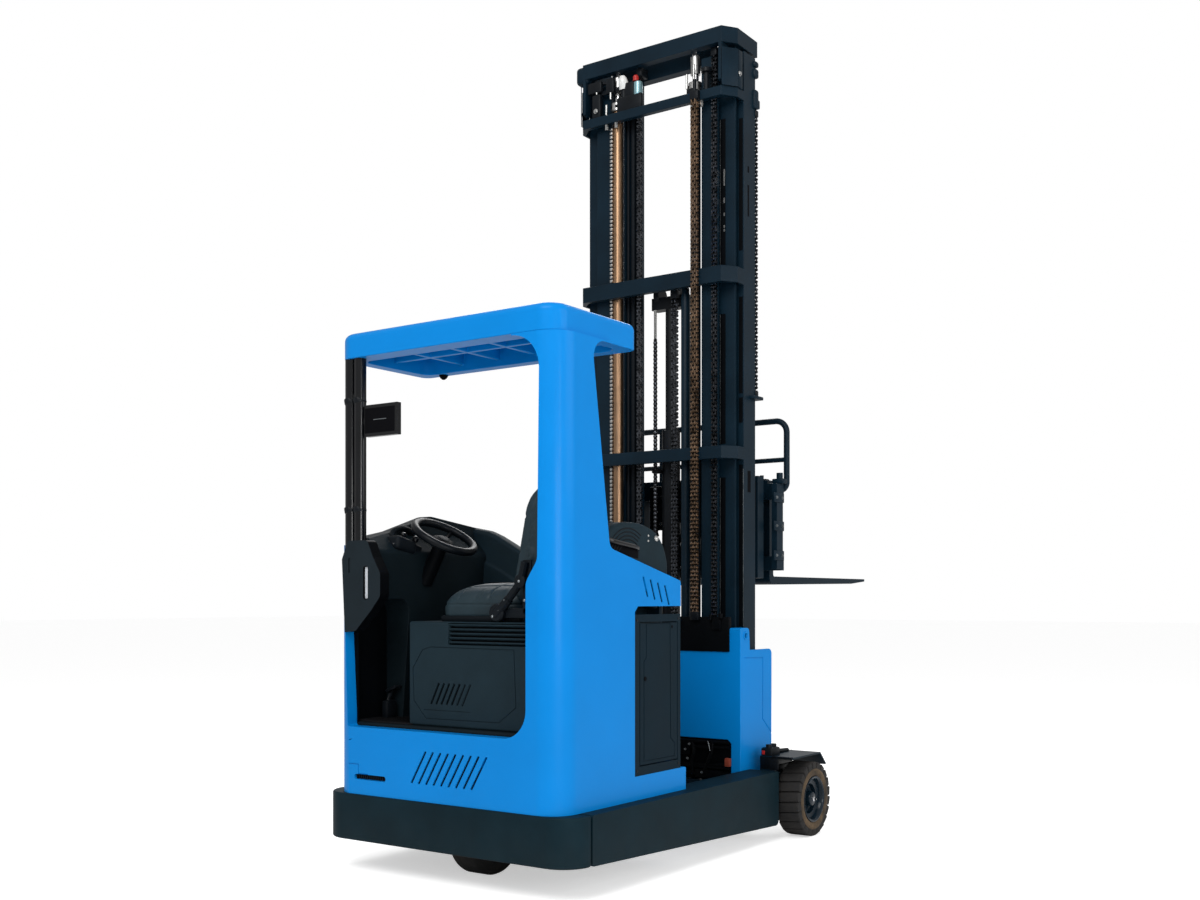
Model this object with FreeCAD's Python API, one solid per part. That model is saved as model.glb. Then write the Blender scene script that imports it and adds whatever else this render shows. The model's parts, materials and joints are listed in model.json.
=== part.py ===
import FreeCAD, Part
import math
import os
from FreeCAD import Vector

os.makedirs("parts", exist_ok=True)

# Sit-on reach truck.  X points to the fork tips, Y to the truck's left, Z up.
# The origin is on the floor, midway between the rear bumper and the fork tips.
# Lengths are in millimetres.

# ---------------------------------------------------------------- overall sizes
overall_width = 1480.0
wheel_stand_out = 90.0
body_width = 1176.0
roof_height = 2218.0

# ---------------------------------------------------------------- base and legs
base_top = 320.0
skirt_bottom = 130.0
skirt_wall = 60.0
skirt_corner_r = 120.0
skirt_length = 128.0
skirt_gap = 8.0
leg_width = 145.0
leg_length = 1630.0
leg_front_bottom = 70.0
track_height = 130.0
track_depth = 60.0
track_bottom = 145.0
frame_length = 925.0
frame_bottom = 140.0
leg_fit = 5.0

# ---------------------------------------------------------------- wheels
wheel_d = 348.0
wheel_width = 120.0
wheel_station = 1826.0
rim_ratio = 0.62
hub_depth = 34.0
axle_d = 50.0
bracket_overrun = 75.0
drive_wheel_d = 343.0
drive_wheel_width = 135.0
well_rear_gap = 9.695
battery_gap = 4.694
drive_axle_d = 60.0
well_clearance = 24.0
well_wall = 14.0
ring_d = 330.0
ring_gap = 27.0
ring_seat = 12.0
running_gap = 0.3
guard_gap = 30.0
guard_thickness = 8.0

# ---------------------------------------------------------------- blue body
body_rear_step = 10.0
body_length = 850.0
body_corner_r = 110.0
strip_length = 900.0
strip_height = 95.0
panel_wall = 42.0
pillar_wall = 92.0
pillar_rear_width = 155.0
rear_wall = 58.0
sill_height = 595.0
hip_low = 1183.0
hip_high = 1264.0
left_column_height = 1345.0
column_low = 81.0
hip_r = 60.0
hip_ease = 9.0
entry_low_r = 110.0
entry_high_r = 130.0
pillar_flare_r = 70.0
roof_lip = 6.0
roof_edge_r = 30.0
roof_skin = 16.0
roof_bars = 4
rear_slots = 9
rear_slot_y = 145.0
rear_slot_pitch = 39.0
rear_slot_low = 388.0
rear_slot_high = 520.0
rear_slot_width = 12.0
rear_slot_lean = -78.0
recess_left = 462.0
recess_right = 286.0
recess_z = 392.0
recess_height = 22.0
recess_depth = 14.0
side_vents = 4
side_vent_start = 606.0
side_vent_pitch = 54.0
side_vent_drop = 11.0
side_vent_low = 1128.0
side_vent_height = 82.0
side_vent_width = 13.0
side_vent_lean = 34.0
roof_thickness = 106.0
roof_length = 550.0
roof_width = 1140.0
pillar_foot_station = 338.0
pillar_foot_height = 1317.0
pillar_top_station = 218.0
side_front_height = 1196.0
door_start = 512.0
door_bottom = 415.0
door_top = 1058.0
door_lintel = 1091.0
door_gap = 5.0
door_sheet = 6.0
door_pin_d = 4.0
door_pin_depth = 8.0
cover_rim_rear = 36.0
cover_rim_front = 22.0
cover_rim_top = 30.0
cover_inset = 2.0
cover_wall = 26.0
bulkhead = 24.0
post_d = 50.0
trim_depth = 52.0
trim_top = 1361.0
trim_bottom = 983.0
trim_reach = 266.0
trim_slit_from = 70.0
trim_slit_width = 26.0
trim_slit_low = 135.0
trim_slit_high = 105.0
trim_shoulder_in = 74.0
trim_shoulder_drop = 70.0
trim_nose_in = 40.0
trim_nose_drop = 135.0
trim_nose_rise = 148.0
trim_foot_in = 50.0
trim_foot_rise = 92.0
trim_heel_in = 140.0
door_corner = 22.0

# ---------------------------------------------------------------- driver's place
floor_height = 610.0
floor_thickness = 24.0
seat_box_top = 1030.0
seat_box_rear = 92.0
seat_box_front = 505.0
seat_box_left = 235.0
seat_centre_station = 375.0
seat_width = 480.0
seat_depth = 410.0
seat_front_y = 120.0
seat_pan_height = 22.0
seat_lean = 60.0
cushion_thickness = 120.0
back_thickness = 100.0
back_height = 430.0
wheel_ring_d = 300.0
wheel_ring_wire = 26.0
steer_station = 380.0
steer_y = 300.0
steer_height = 1385.0
steer_tilt = 30.0
steer_shaft_d = 22.0
dash_start = 280.0
dash_inner_y = 390.0
dash_height = 1489.0
dash_lowest = 1120.0
dash_rear_height = 1372.0
dash_front_height = 1444.0
dash_peak_station = 490.0
dash_brow_y = 465.0
cowl_depth = 56.0

# ---------------------------------------------------------------- reach carriage
carriage_station = 1540.0
carriage_length = 315.0
cover_top = 880.0
cover_step = 460.0
cover_plate = 20.0
cover_side = 17.0
cover_foot = 290.0
ear_height = 105.0
ear_width = 60.0
ear_length = 95.0
ear_hole_d = 24.0
ear_hole_back = 50.0
foot_width = 50.0
foot_corner = 18.0
cheek_step_back = 36.0
cheek_step_drop = 42.0
reach_travel = 580.0
reach_rod_d = 45.0
reach_barrel_d = 75.0
roller_d = 120.0
reach_axis_height = 215.0
reach_cylinder_y = 300.0
reach_barrel_rear = 287.0
reach_end_wall = 15.0
reach_bore_gap = 0.5
reach_cross_depth = 43.0
reach_cross_top = 262.0

# ---------------------------------------------------------------- mast
mast_height = 3815.0
mast_side_gap = 47.0
rail_depth = 115.0
outer_rail_station = 1660.0
stage_step = 38.0
web = 14.0
flange = 15.0
outer_flange_reach = 50.0
stage_pitch = 73.0
inner_pitch = 72.0
inner_beam_height = 90.0
inner_beam_lap = 8.0
top_beam_height = 75.0
beam_station = 1530.0
beam_depth = 32.0
beam_inset = 50.0
beam2_top = 3535.0
beam2_height = 45.0
beam3_top = 2690.0
beam3_height = 76.0
beam4_top = 1843.0
beam4_height = 60.0
mast_foot = 110.0
roller_rise = 60.0
lift_cylinder_inset = 225.0
lift_cylinder_station = 1590.0
lift_barrel_d = 50.0
lift_rod_d = 32.0
stage_travel = 2200.0
free_barrel_d = 90.0
free_rod_d = 55.0
free_y = -40.0
free_station = 1665.0
free_barrel_top = 1950.0
free_head_height = 2560.0

# ---------------------------------------------------------------- lift carriage and forks
plate_inset = 198.0
plate_thickness = 24.0
lift_plate_bottom = 1420.0
lift_plate_top = 1840.0
lift_front_station = 1820.0
lift_front_depth = 60.0
lift_front_half = 440.0
fork_frame_station = 1943.0
fork_frame_depth = 75.0
fork_frame_half = 480.0
fork_frame_bottom = 1262.0
fork_frame_top = 1695.0
fork_length = 1150.0
fork_width = 100.0
fork_thickness = 42.0
fork_spread = 350.0
fork_bottom = 1192.0
fork_tip_thickness = 12.0
fork_tip_r = 28.0
fork_heel_r = 40.0
rest_top = 2025.0
rest_half = 500.0
rest_tube = 30.0
rest_bend_r = 60.0
rest_foot = 75.0
rest_foot_r = 40.0
tilt_station = 1912.0
tilt_height = 1668.0
tilt_pin_d = 26.0
tilt_arm = 308.0
tilt_cylinder_y = 180.0
tilt_barrel_d = 52.0
tilt_barrel_length = 150.0
tilt_rod_d = 28.0
pin_clearance = 0.1


# ---------------------------------------------------------------- worked-out places
fork_face_station = fork_frame_station + fork_frame_depth
overall_length = fork_face_station + fork_thickness + fork_length
rear_x = -overall_length / 2


def station(distance):
    """X of a point this far ahead of the rear bumper's rear face."""
    return rear_x + distance


body_rear = station(body_rear_step)
body_front = body_rear + body_length
body_half = body_width / 2
base_width = overall_width - 2 * wheel_stand_out
base_half = base_width / 2
leg_inner = base_half - leg_width
leg_start = station(skirt_length + skirt_gap)
leg_end = station(leg_length)
wheel_x = station(wheel_station)
wheel_r = wheel_d / 2
wheel_outer = overall_width / 2
wheel_inner = wheel_outer - wheel_width
bracket_outer = wheel_inner - 20.0
carriage_half = leg_inner - leg_fit - 3.0
mast_half_width = carriage_half - mast_side_gap
beam_half_width = mast_half_width - beam_inset
lift_cylinder_y = mast_half_width - lift_cylinder_inset
plate_y = mast_half_width - plate_inset
seat_pan_top = seat_box_top + seat_pan_height
deck_top = seat_box_top + 20
sill_right = -body_half + pillar_rear_width + entry_low_r + 2.0
sill_left = body_half - panel_wall - 52.0
column_foot = (body_half - column_low, sill_height + 55.0)
column_head = (body_half - panel_wall - 4.0, left_column_height - 60.0)
carriage_rear = station(carriage_station)
carriage_front = carriage_rear + carriage_length
ear_hole_height = cover_top + ear_height - 37.0
roof_bottom = roof_height - roof_thickness
drive_r = drive_wheel_d / 2
ring_bottom = drive_wheel_d + ring_gap
well_r = math.hypot(drive_r, drive_wheel_width / 2) + well_clearance
well_outer_r = well_r + well_wall
drive_station = body_rear_step + rear_wall + well_rear_gap + well_outer_r
drive_x = station(drive_station)
fork_back = station(fork_face_station)
fork_tip_x = fork_back + fork_thickness + fork_length


# ---------------------------------------------------------------- small helpers
def block(x0, x1, y0, y1, z0, z1):
    """Box between two corners."""
    low = Vector(min(x0, x1), min(y0, y1), min(z0, z1))
    return Part.makeBox(abs(x1 - x0), abs(y1 - y0), abs(z1 - z0), low)


def rod_x(x0, x1, y, z, d):
    return Part.makeCylinder(d / 2, x1 - x0, Vector(x0, y, z), Vector(1, 0, 0))


def rod_y(y0, y1, x, z, d):
    return Part.makeCylinder(d / 2, y1 - y0, Vector(x, y0, z), Vector(0, 1, 0))


def rod_z(z0, z1, x, y, d):
    return Part.makeCylinder(d / 2, z1 - z0, Vector(x, y, z0), Vector(0, 0, 1))


def rounded_wire(corners, place):
    """Closed wire through corners (u, v) or (u, v, radius), each put in space by place(u, v)."""
    points = [Vector(corner[0], corner[1], 0) for corner in corners]
    radii = [corner[2] if len(corner) > 2 else 0.0 for corner in corners]
    starts, mids, ends = [], [], []
    for index, point in enumerate(points):
        if not radii[index]:
            starts.append(point)
            mids.append(point)
            ends.append(point)
            continue
        before = (points[index - 1] - point).normalize()
        after = (points[(index + 1) % len(points)] - point).normalize()
        half_turn = before.getAngle(after) / 2
        bisector = (before + after).normalize()
        radius = radii[index]
        back = radius / math.tan(half_turn)
        to_centre = radius / math.sin(half_turn)
        starts.append(point + before * back)
        mids.append(point + bisector * (to_centre - radius))
        ends.append(point + after * back)
    edges = []
    for index, radius in enumerate(radii):
        start, mid, end = (place(p.x, p.y) for p in (starts[index], mids[index], ends[index]))
        if radius:
            edges.append(Part.Arc(start, mid, end).toShape())
        following = starts[(index + 1) % len(points)]
        edges.append(Part.makeLine(end, place(following.x, following.y)))
    return Part.Wire(edges)


def side_prism(corners, y0, y1):
    """Outline in X and Z, extruded from y0 to y1."""
    wire = rounded_wire(corners, lambda u, v: Vector(u, y0, v))
    return Part.Face(wire).extrude(Vector(0, y1 - y0, 0))


def rear_prism(corners, x0, x1):
    """Outline in Y and Z, extruded from x0 to x1."""
    wire = rounded_wire(corners, lambda u, v: Vector(x0, u, v))
    return Part.Face(wire).extrude(Vector(x1 - x0, 0, 0))


def plan_prism(corners, z0, z1):
    """Outline in X and Y, extruded from z0 to z1."""
    wire = rounded_wire(corners, lambda u, v: Vector(u, v, z0))
    return Part.Face(wire).extrude(Vector(0, 0, z1 - z0))


def join(shapes):
    """One clean solid from shapes that touch or overlap."""
    first = shapes[0]
    if len(shapes) == 1:
        return first
    return first.multiFuse(shapes[1:]).removeSplitter()


def mirror(shape):
    """The same shape on the other side of the truck."""
    return shape.mirror(Vector(0, 0, 0), Vector(0, 1, 0))


def fillet_edges(shape, radius, chosen):
    """Rounds the edges that pass the test."""
    edges = [edge for edge in shape.Edges if chosen(edge)]
    return shape.makeFillet(radius, edges)


def upright(edge):
    """True for a straight edge along Z."""
    first, last = edge.Vertexes[0].Point, edge.Vertexes[-1].Point
    return abs(first.x - last.x) < 0.01 and abs(first.y - last.y) < 0.01


def save(name, *solids):
    """Writes one sub-part, with each solid kept apart."""
    parts = []
    for shape in solids:
        parts.extend(shape.Solids)
    shape = parts[0] if len(parts) == 1 else Part.makeCompound(parts)
    shape.exportStep("parts/" + name + ".step")


# ---------------------------------------------------------------- base and legs
def rounded_plan(x0, x1, half, radius, z0, z1):
    """Block with its two rear upright edges rounded."""
    shape = block(x0, x1, -half, half, z0, z1)
    return fillet_edges(shape, radius, lambda e: upright(e) and e.Vertexes[0].Point.x < x0 + 1)


def base_frame():
    """Welded box between the legs, with the well and collar for the drive unit."""
    front = station(frame_length)
    shape = block(station(skirt_wall + 4), front, -leg_inner, leg_inner, frame_bottom, base_top)
    seat_top = ring_bottom - running_gap
    seat_low = seat_top - ring_seat
    collar = rod_z(base_top, seat_top, drive_x, 0, 2 * well_outer_r)
    well = rod_z(frame_bottom - 1, seat_low, drive_x, 0, 2 * well_r)
    opening = rod_z(seat_low - 1, seat_top + 1, drive_x, 0, ring_d - 2 * ring_seat)
    shape = join([shape, collar]).cut(well).cut(opening)
    for y in (-reach_cylinder_y, reach_cylinder_y):
        shape = shape.cut(rod_x(station(reach_barrel_rear), front + 1, y, reach_axis_height, reach_barrel_d))
    return shape


def rear_bumper():
    """Deep skirt round the rear end, with rounded corners."""
    outer = rounded_plan(rear_x, station(skirt_length), base_half, skirt_corner_r, skirt_bottom, base_top)
    inner = rounded_plan(
        rear_x + skirt_wall,
        station(skirt_length) + 1,
        base_half - skirt_wall,
        skirt_corner_r - skirt_wall,
        skirt_bottom - 1,
        base_top + 1,
    )
    return outer.cut(inner)


def leg():
    """Left leg with its roller track and the plate that carries the load wheel."""
    outline = [
        (leg_start, skirt_bottom, 10),
        (leg_end, leg_front_bottom, 25),
        (leg_end, base_top, 12),
        (leg_start, base_top, 10),
    ]
    beam = side_prism(outline, leg_inner, base_half)
    plate_front = wheel_x + bracket_overrun
    arm_outline = [
        (leg_end - 1, leg_front_bottom + 10),
        (plate_front, leg_front_bottom + 60, 30),
        (plate_front, base_top - 20, 40),
        (leg_end - 1, base_top - 20),
    ]
    arm = side_prism(arm_outline, leg_inner, bracket_outer)
    track = block(
        station(frame_length) + 5,
        plate_front - 12,
        leg_inner - 1,
        leg_inner + track_depth,
        track_bottom,
        track_bottom + track_height,
    )
    shape = join([beam, arm]).cut(track)
    axle = rod_y(bracket_outer - 5, wheel_outer - hub_depth - 20, wheel_x, wheel_r, axle_d)
    return join([shape, axle])


def mudguard():
    """Flat guard over the left load wheel, bent down at its front."""
    top = wheel_d + guard_gap
    x0 = leg_end + 2
    bend = wheel_x + 95
    front = bend + 62
    outline = [
        (x0, top),
        (bend, top),
        (front, top - 58),
        (front + 5, top - 52),
        (bend + 4, top + guard_thickness),
        (x0, top + guard_thickness),
    ]
    plate = side_prism(outline, leg_inner + 45, wheel_outer - 18)
    foot = block(x0, x0 + 60, leg_inner + 45, bracket_outer, base_top - 20, top)
    return join([plate, foot])


# ---------------------------------------------------------------- wheels
def tyre(x, y_mid, radius, width, rim_r, shoulder):
    """Solid tyre: a ring with rounded shoulders."""
    outline = [
        Vector(x, y_mid - width / 2, radius + rim_r),
        Vector(x, y_mid - width / 2, 2 * radius - shoulder),
        Vector(x, y_mid - width / 2 + shoulder, 2 * radius),
        Vector(x, y_mid + width / 2 - shoulder, 2 * radius),
        Vector(x, y_mid + width / 2, 2 * radius - shoulder),
        Vector(x, y_mid + width / 2, radius + rim_r),
    ]
    wire = Part.makePolygon(outline + [outline[0]])
    return Part.Face(wire).revolve(Vector(x, 0, radius), Vector(0, 1, 0), 360)


def load_rim():
    """Dished rim and hub of the left load wheel."""
    rim_r = wheel_r * rim_ratio
    mid = (wheel_inner + wheel_outer) / 2
    bore = axle_d + 2 * pin_clearance
    ring = rod_y(wheel_inner + 6, wheel_outer - 6, wheel_x, wheel_r, 2 * rim_r)
    ring = ring.cut(rod_y(wheel_inner, wheel_outer, wheel_x, wheel_r, 2 * rim_r - 24))
    disc = rod_y(mid - 20, mid + 8, wheel_x, wheel_r, 2 * rim_r - 20)
    hub = rod_y(wheel_inner + 6, wheel_outer - hub_depth + 20, wheel_x, wheel_r, rim_r * 0.85)
    shape = join([ring, disc, hub])
    return shape.cut(rod_y(wheel_inner - 1, wheel_outer - hub_depth - 10, wheel_x, wheel_r, bore))


def drive_hub():
    """Core of the drive wheel."""
    half = drive_wheel_width / 2
    shape = rod_y(-half + 10, half - 10, drive_x, drive_r, drive_wheel_d * 0.74)
    return shape.cut(rod_y(-half, half, drive_x, drive_r, drive_axle_d + 2 * pin_clearance))


def drive_fork():
    """Steered gearbox leg beside the drive wheel, with its axle and turning ring."""
    side = drive_wheel_width / 2 + 6
    leg_plate = block(drive_x - 80, drive_x + 80, side, side + 50, drive_r - 70, ring_bottom + 1)
    ring = rod_z(ring_bottom, ring_bottom + 48, drive_x, 0, ring_d)
    axle = rod_y(8 - drive_wheel_width / 2, side + 10, drive_x, drive_r, drive_axle_d)
    return join([leg_plate, ring, axle])


def drive_motor():
    """Traction motor standing on the turning ring."""
    return rod_z(ring_bottom + 48, floor_height - floor_thickness - 12, drive_x, 0, 230)


# ---------------------------------------------------------------- blue body
def body_plan(z0, z1, front):
    return rounded_plan(body_rear, front, body_half, body_corner_r, z0, z1)


def slot_outline(u, v_low, v_high, width, lean):
    """Leaning slot: its foot is centred on u, and its head stands lean to the side."""
    half = width / 2
    corner = width * 0.3
    return [
        (u - half, v_low, corner),
        (u + half, v_low, corner),
        (u + lean + half, v_high, corner),
        (u + lean - half, v_high, corner),
    ]


def rear_panel():
    """Low rear wall under the entry, up to the sill, with its vent slots and recess."""
    shape = block(body_rear, body_rear + rear_wall, sill_right, sill_left, base_top, sill_height)
    for index in range(rear_slots):
        y = rear_slot_y - index * rear_slot_pitch
        outline = slot_outline(y, rear_slot_low, rear_slot_high, rear_slot_width, rear_slot_lean)
        shape = shape.cut(rear_prism(outline, body_rear - 1, body_rear + rear_wall + 1))
    high = recess_z + recess_height / 2
    low = recess_z - recess_height / 2
    corners = [(recess_left, low), (recess_left, high), (recess_right, high), (recess_right, low)]
    rounded = [(y, z, recess_height * 0.45) for y, z in corners]
    return shape.cut(rear_prism(rounded, body_rear - 1, body_rear + recess_depth))


def right_side():
    """Right wall: the wide rear pillar, the waist panel and the strip under the door."""
    x0 = body_rear
    lip = roof_bottom - roof_lip
    outline = [
        (x0, base_top),
        (station(strip_length), base_top),
        (station(strip_length), base_top + strip_height, 8),
        (station(door_start), base_top + strip_height),
        (station(door_start), door_lintel - door_corner),
        (station(door_start) + door_corner, door_lintel),
        (body_front, door_lintel),
        (body_front, side_front_height, 14),
        (station(pillar_foot_station), pillar_foot_height, 40),
        (station(pillar_top_station), lip, pillar_flare_r),
        (station(pillar_top_station) + 2 * pillar_flare_r, lip),
        (station(pillar_top_station) + 2 * pillar_flare_r, roof_bottom),
        (x0, roof_bottom),
    ]
    side = side_prism(outline, -body_half, -body_half + pillar_wall)
    rear_low = -body_half + pillar_rear_width
    rear_high = -body_half + pillar_wall
    web_outline = [
        (-body_half, base_top),
        (sill_right, base_top),
        (sill_right, sill_height),
        (rear_low, sill_height, entry_low_r),
        (rear_low, hip_low, hip_r),
        (rear_high + hip_ease, hip_high, hip_r),
        (rear_high, lip, entry_high_r),
        (rear_high + entry_high_r + 2, lip),
        (rear_high + entry_high_r + 2, roof_bottom),
        (-body_half, roof_bottom),
    ]
    rear = rear_prism(web_outline, x0, x0 + rear_wall)
    shape = join([side, rear]).common(body_plan(base_top - 1, roof_bottom + 1, station(strip_length) + 1))
    for index in range(side_vents):
        x = station(side_vent_start) + index * side_vent_pitch
        low = side_vent_low - index * side_vent_drop
        outline = slot_outline(x, low, low + side_vent_height, side_vent_width, -side_vent_lean)
        shape = shape.cut(side_prism(outline, -body_half - 1, -body_half + pillar_wall + 1))
    return shape


def left_side():
    """Left wall with its rounded rear column."""
    x0 = body_rear
    outline = [
        (x0, base_top),
        (station(strip_length), base_top),
        (station(strip_length), base_top + strip_height, 8),
        (station(door_start), base_top + strip_height),
        (station(door_start), door_lintel - door_corner),
        (station(door_start) + door_corner, door_lintel),
        (body_front, door_lintel),
        (body_front, side_front_height, 14),
        (station(pillar_foot_station), pillar_foot_height, 60),
        (x0 + 120, left_column_height, 60),
        (x0, left_column_height, 34),
    ]
    side = side_prism(outline, body_half - panel_wall, body_half)
    web_outline = [
        (body_half, base_top),
        (sill_left, base_top),
        (sill_left, sill_height),
        (column_foot[0], sill_height, 12),
        column_foot,
        column_head,
        (body_half - panel_wall, left_column_height, 20),
        (body_half, left_column_height, 8),
    ]
    rear = rear_prism(web_outline, x0, x0 + rear_wall)
    shape = join([side, rear])
    return shape.common(body_plan(base_top - 1, left_column_height + 1, station(strip_length) + 1))


def roof():
    """Overhead guard with rounded rear corners and a ribbed, open underside."""
    half = roof_width / 2
    x0 = body_rear
    x1 = x0 + roof_length
    front_r = 40.0
    plan = [
        (x0, -half, body_corner_r * 0.8),
        (x0, half, body_corner_r * 0.8),
        (x1, half, front_r),
        (x1, -half, front_r),
    ]
    shape = plan_prism(plan, roof_bottom, roof_height)
    top = [edge for edge in shape.Edges if min(v.Point.z for v in edge.Vertexes) > roof_height - 1]
    shape = shape.makeFillet(roof_edge_r, top)
    inset = 60.0
    pocket = [
        (x0 + inset + 35, -half + inset, 50),
        (x0 + inset + 35, half - inset, 50),
        (x1 - inset, half - inset, 50),
        (x1 - inset, -half + inset, 50),
    ]
    shape = shape.cut(plan_prism(pocket, roof_bottom - 1, roof_height - roof_skin))
    low = roof_bottom + 26
    high = roof_height - roof_skin + 1
    pitch = 2 * (half - inset) / (roof_bars + 1)
    bars = []
    for index in range(1, roof_bars + 1):
        y = -half + inset + index * pitch
        bars.append(block(x0 + inset + 30, x1 - inset + 5, y - 11, y + 11, low, high))
    x = (x0 + x1) / 2 + 15
    bars.append(block(x - 11, x + 11, -half + inset - 5, half - inset + 5, low, high))
    return join([shape] + bars)


def column_edge(z):
    """Y of the left column's sloping inner edge at this height."""
    share = (z - column_foot[1]) / (column_head[1] - column_foot[1])
    return column_foot[0] + share * (column_head[0] - column_foot[0])


def left_post():
    """Pair of black tubes under the roof's left rear corner, with their trim panel and grab bar."""
    x = body_rear + 32
    y_out = body_half - panel_wall - post_d / 2 - 8
    y_in = y_out - post_d - 2
    tubes = [rod_z(left_column_height - 60, roof_bottom, x, y, post_d) for y in (y_out, y_in)]
    straps = [
        block(x - 12, x + 12, y_in - 10, y_out + 10, z, z + 24)
        for z in (left_column_height + 150, roof_bottom - 170)
    ]
    grab = body_half - trim_reach
    outline = [
        (column_edge(trim_bottom), trim_bottom),
        column_head,
        (body_half - 80, trim_top, 18),
        (grab + trim_shoulder_in, trim_top, 20),
        (grab + trim_nose_in, trim_top - trim_shoulder_drop, 20),
        (grab, trim_top - trim_nose_drop, 30),
        (grab, trim_bottom + trim_nose_rise, 30),
        (grab + trim_foot_in, trim_bottom + trim_foot_rise, 25),
        (grab + trim_heel_in, trim_bottom + 6, 20),
    ]
    panel = rear_prism(outline, x - trim_depth / 2, x + trim_depth / 2)
    slit_start = grab + trim_slit_from
    slit_end = slit_start + trim_slit_width
    slit = [
        (slit_start, trim_bottom + trim_slit_low, trim_slit_width / 2 - 1),
        (slit_start, trim_top - trim_slit_high, trim_slit_width / 2 - 1),
        (slit_end, trim_top - trim_slit_high, trim_slit_width / 2 - 1),
        (slit_end, trim_bottom + trim_slit_low, trim_slit_width / 2 - 1),
    ]
    panel = panel.cut(rear_prism(slit, x - trim_depth, x + trim_depth))
    return join(tubes + straps + [panel])


def rear_display():
    """Small black panel held on the left post."""
    x = body_rear + 32
    y_in = body_half - panel_wall - 1.5 * post_d - 10
    z = roof_bottom - 262
    panel = block(x - 12, x + 12, y_in - 220, y_in - 40, z - 65, z + 65)
    arm = block(x - 8, x + 8, y_in - 45, y_in - post_d / 2 - 0.2, z - 12, z + 12)
    return join([panel, arm])


def door_box():
    """Corners of the service door, in X and Z."""
    x0 = station(door_start) + cover_rim_rear + door_gap
    x1 = body_front - cover_rim_front - door_gap
    z0 = door_bottom + cover_rim_rear + door_gap
    z1 = door_top - cover_rim_top - door_gap
    return x0, x1, z0, z1


def door_pin(d, extra):
    """Upright pivot at the front edge of the left door, reaching past both ends."""
    x0, x1, z0, z1 = door_box()
    reach = door_gap + door_pin_depth + extra
    return rod_z(z0 - reach, z1 + reach, x1 - door_sheet / 2, body_half - cover_inset - door_sheet / 2, d)


def side_cover(side):
    """Dark cover frame round the service door, on one side."""
    x0, x1, z0, z1 = door_box()
    y0 = body_half - cover_wall
    outer = block(station(door_start), body_front, y0, body_half - cover_inset, door_bottom, door_top)
    inner = block(x0 - door_gap, x1 + door_gap, y0 - 1, body_half, z0 - door_gap, z1 + door_gap)
    shape = outer.cut(inner).cut(door_pin(door_pin_d + 2 * pin_clearance, 1))
    return shape if side > 0 else mirror(shape)


def service_door(side):
    """Inset door of the cover, turning on pivots at its front edge."""
    x0, x1, z0, z1 = door_box()
    face = body_half - cover_inset
    sheet = block(x0, x1, face - door_sheet, face, z0, z1)
    shape = join([sheet, door_pin(door_pin_d, 0)])
    return shape if side > 0 else mirror(shape)


def front_bulkhead():
    """Dark wall at the body's front, behind the mast."""
    y0 = -body_half + pillar_wall
    y1 = body_half - panel_wall
    return block(body_front - bulkhead, body_front, y0, y1, base_top, side_front_height - 20)


def battery():
    """Battery block in the middle compartment."""
    return block(
        drive_x + well_outer_r + battery_gap,
        body_front - bulkhead - 6,
        -body_half + pillar_wall + 10,
        body_half - pillar_wall - 10,
        base_top,
        door_top - 60,
    )


# ---------------------------------------------------------------- driver's place
def cab_floor():
    """Floor plate of the driver's place."""
    return block(
        body_rear + rear_wall,
        station(seat_box_front) + 8,
        -body_half + pillar_rear_width,
        body_half - panel_wall,
        floor_height - floor_thickness,
        floor_height,
    )


def seat_box():
    """Dark box that carries the seat, with the seat's pan on top."""
    y0 = -body_half + pillar_rear_width + 3
    x1 = station(seat_box_front)
    box = block(station(seat_box_rear), x1, y0, seat_box_left, floor_height, seat_box_top)
    x = station(seat_centre_station)
    pan_y0 = seat_front_y - seat_depth - 70
    pan = block(x - seat_width / 2 + 25, x1, pan_y0, seat_front_y - 30, seat_box_top - 1, seat_pan_top)
    return join([box, pan])


def deck():
    """Cover over the battery compartment."""
    return block(
        station(seat_box_front),
        body_front - bulkhead,
        -body_half + pillar_wall,
        body_half - panel_wall,
        door_top - 40,
        deck_top,
    )


def seat_cushion():
    """Seat cushion; the driver faces left."""
    x = station(seat_centre_station)
    z0 = seat_pan_top
    y0 = seat_front_y - seat_depth
    return block(x - seat_width / 2, x + seat_width / 2, y0, seat_front_y, z0, z0 + cushion_thickness)


def seat_back():
    """Backrest on the right of the cushion."""
    x = station(seat_centre_station)
    z0 = seat_pan_top
    z1 = z0 + cushion_thickness
    y0 = seat_front_y - seat_depth - running_gap
    outline = [
        (y0, z0),
        (y0, z1),
        (y0 - seat_lean, z1 + back_height),
        (y0 - seat_lean - back_thickness + 30, z1 + back_height),
        (y0 - back_thickness, z1 - 20),
        (y0 - back_thickness + 40, z0),
    ]
    return rear_prism(outline, x - seat_width / 2 + 10, x + seat_width / 2 - 10)


def side_cowl():
    """Black cover behind the seat, over the right waist panel."""
    x0 = station(pillar_foot_station) + 15
    x1 = body_front - bulkhead
    outline = [
        (x0, pillar_foot_height - 150),
        (x0, pillar_foot_height + 10),
        (x0 + 95, pillar_foot_height + 120),
        (x0 + 285, pillar_foot_height + 100),
        (x1, side_front_height + 20),
        (x1, side_front_height - 120),
    ]
    return side_prism(outline, -body_half + pillar_wall, -body_half + pillar_wall + cowl_depth)


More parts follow.
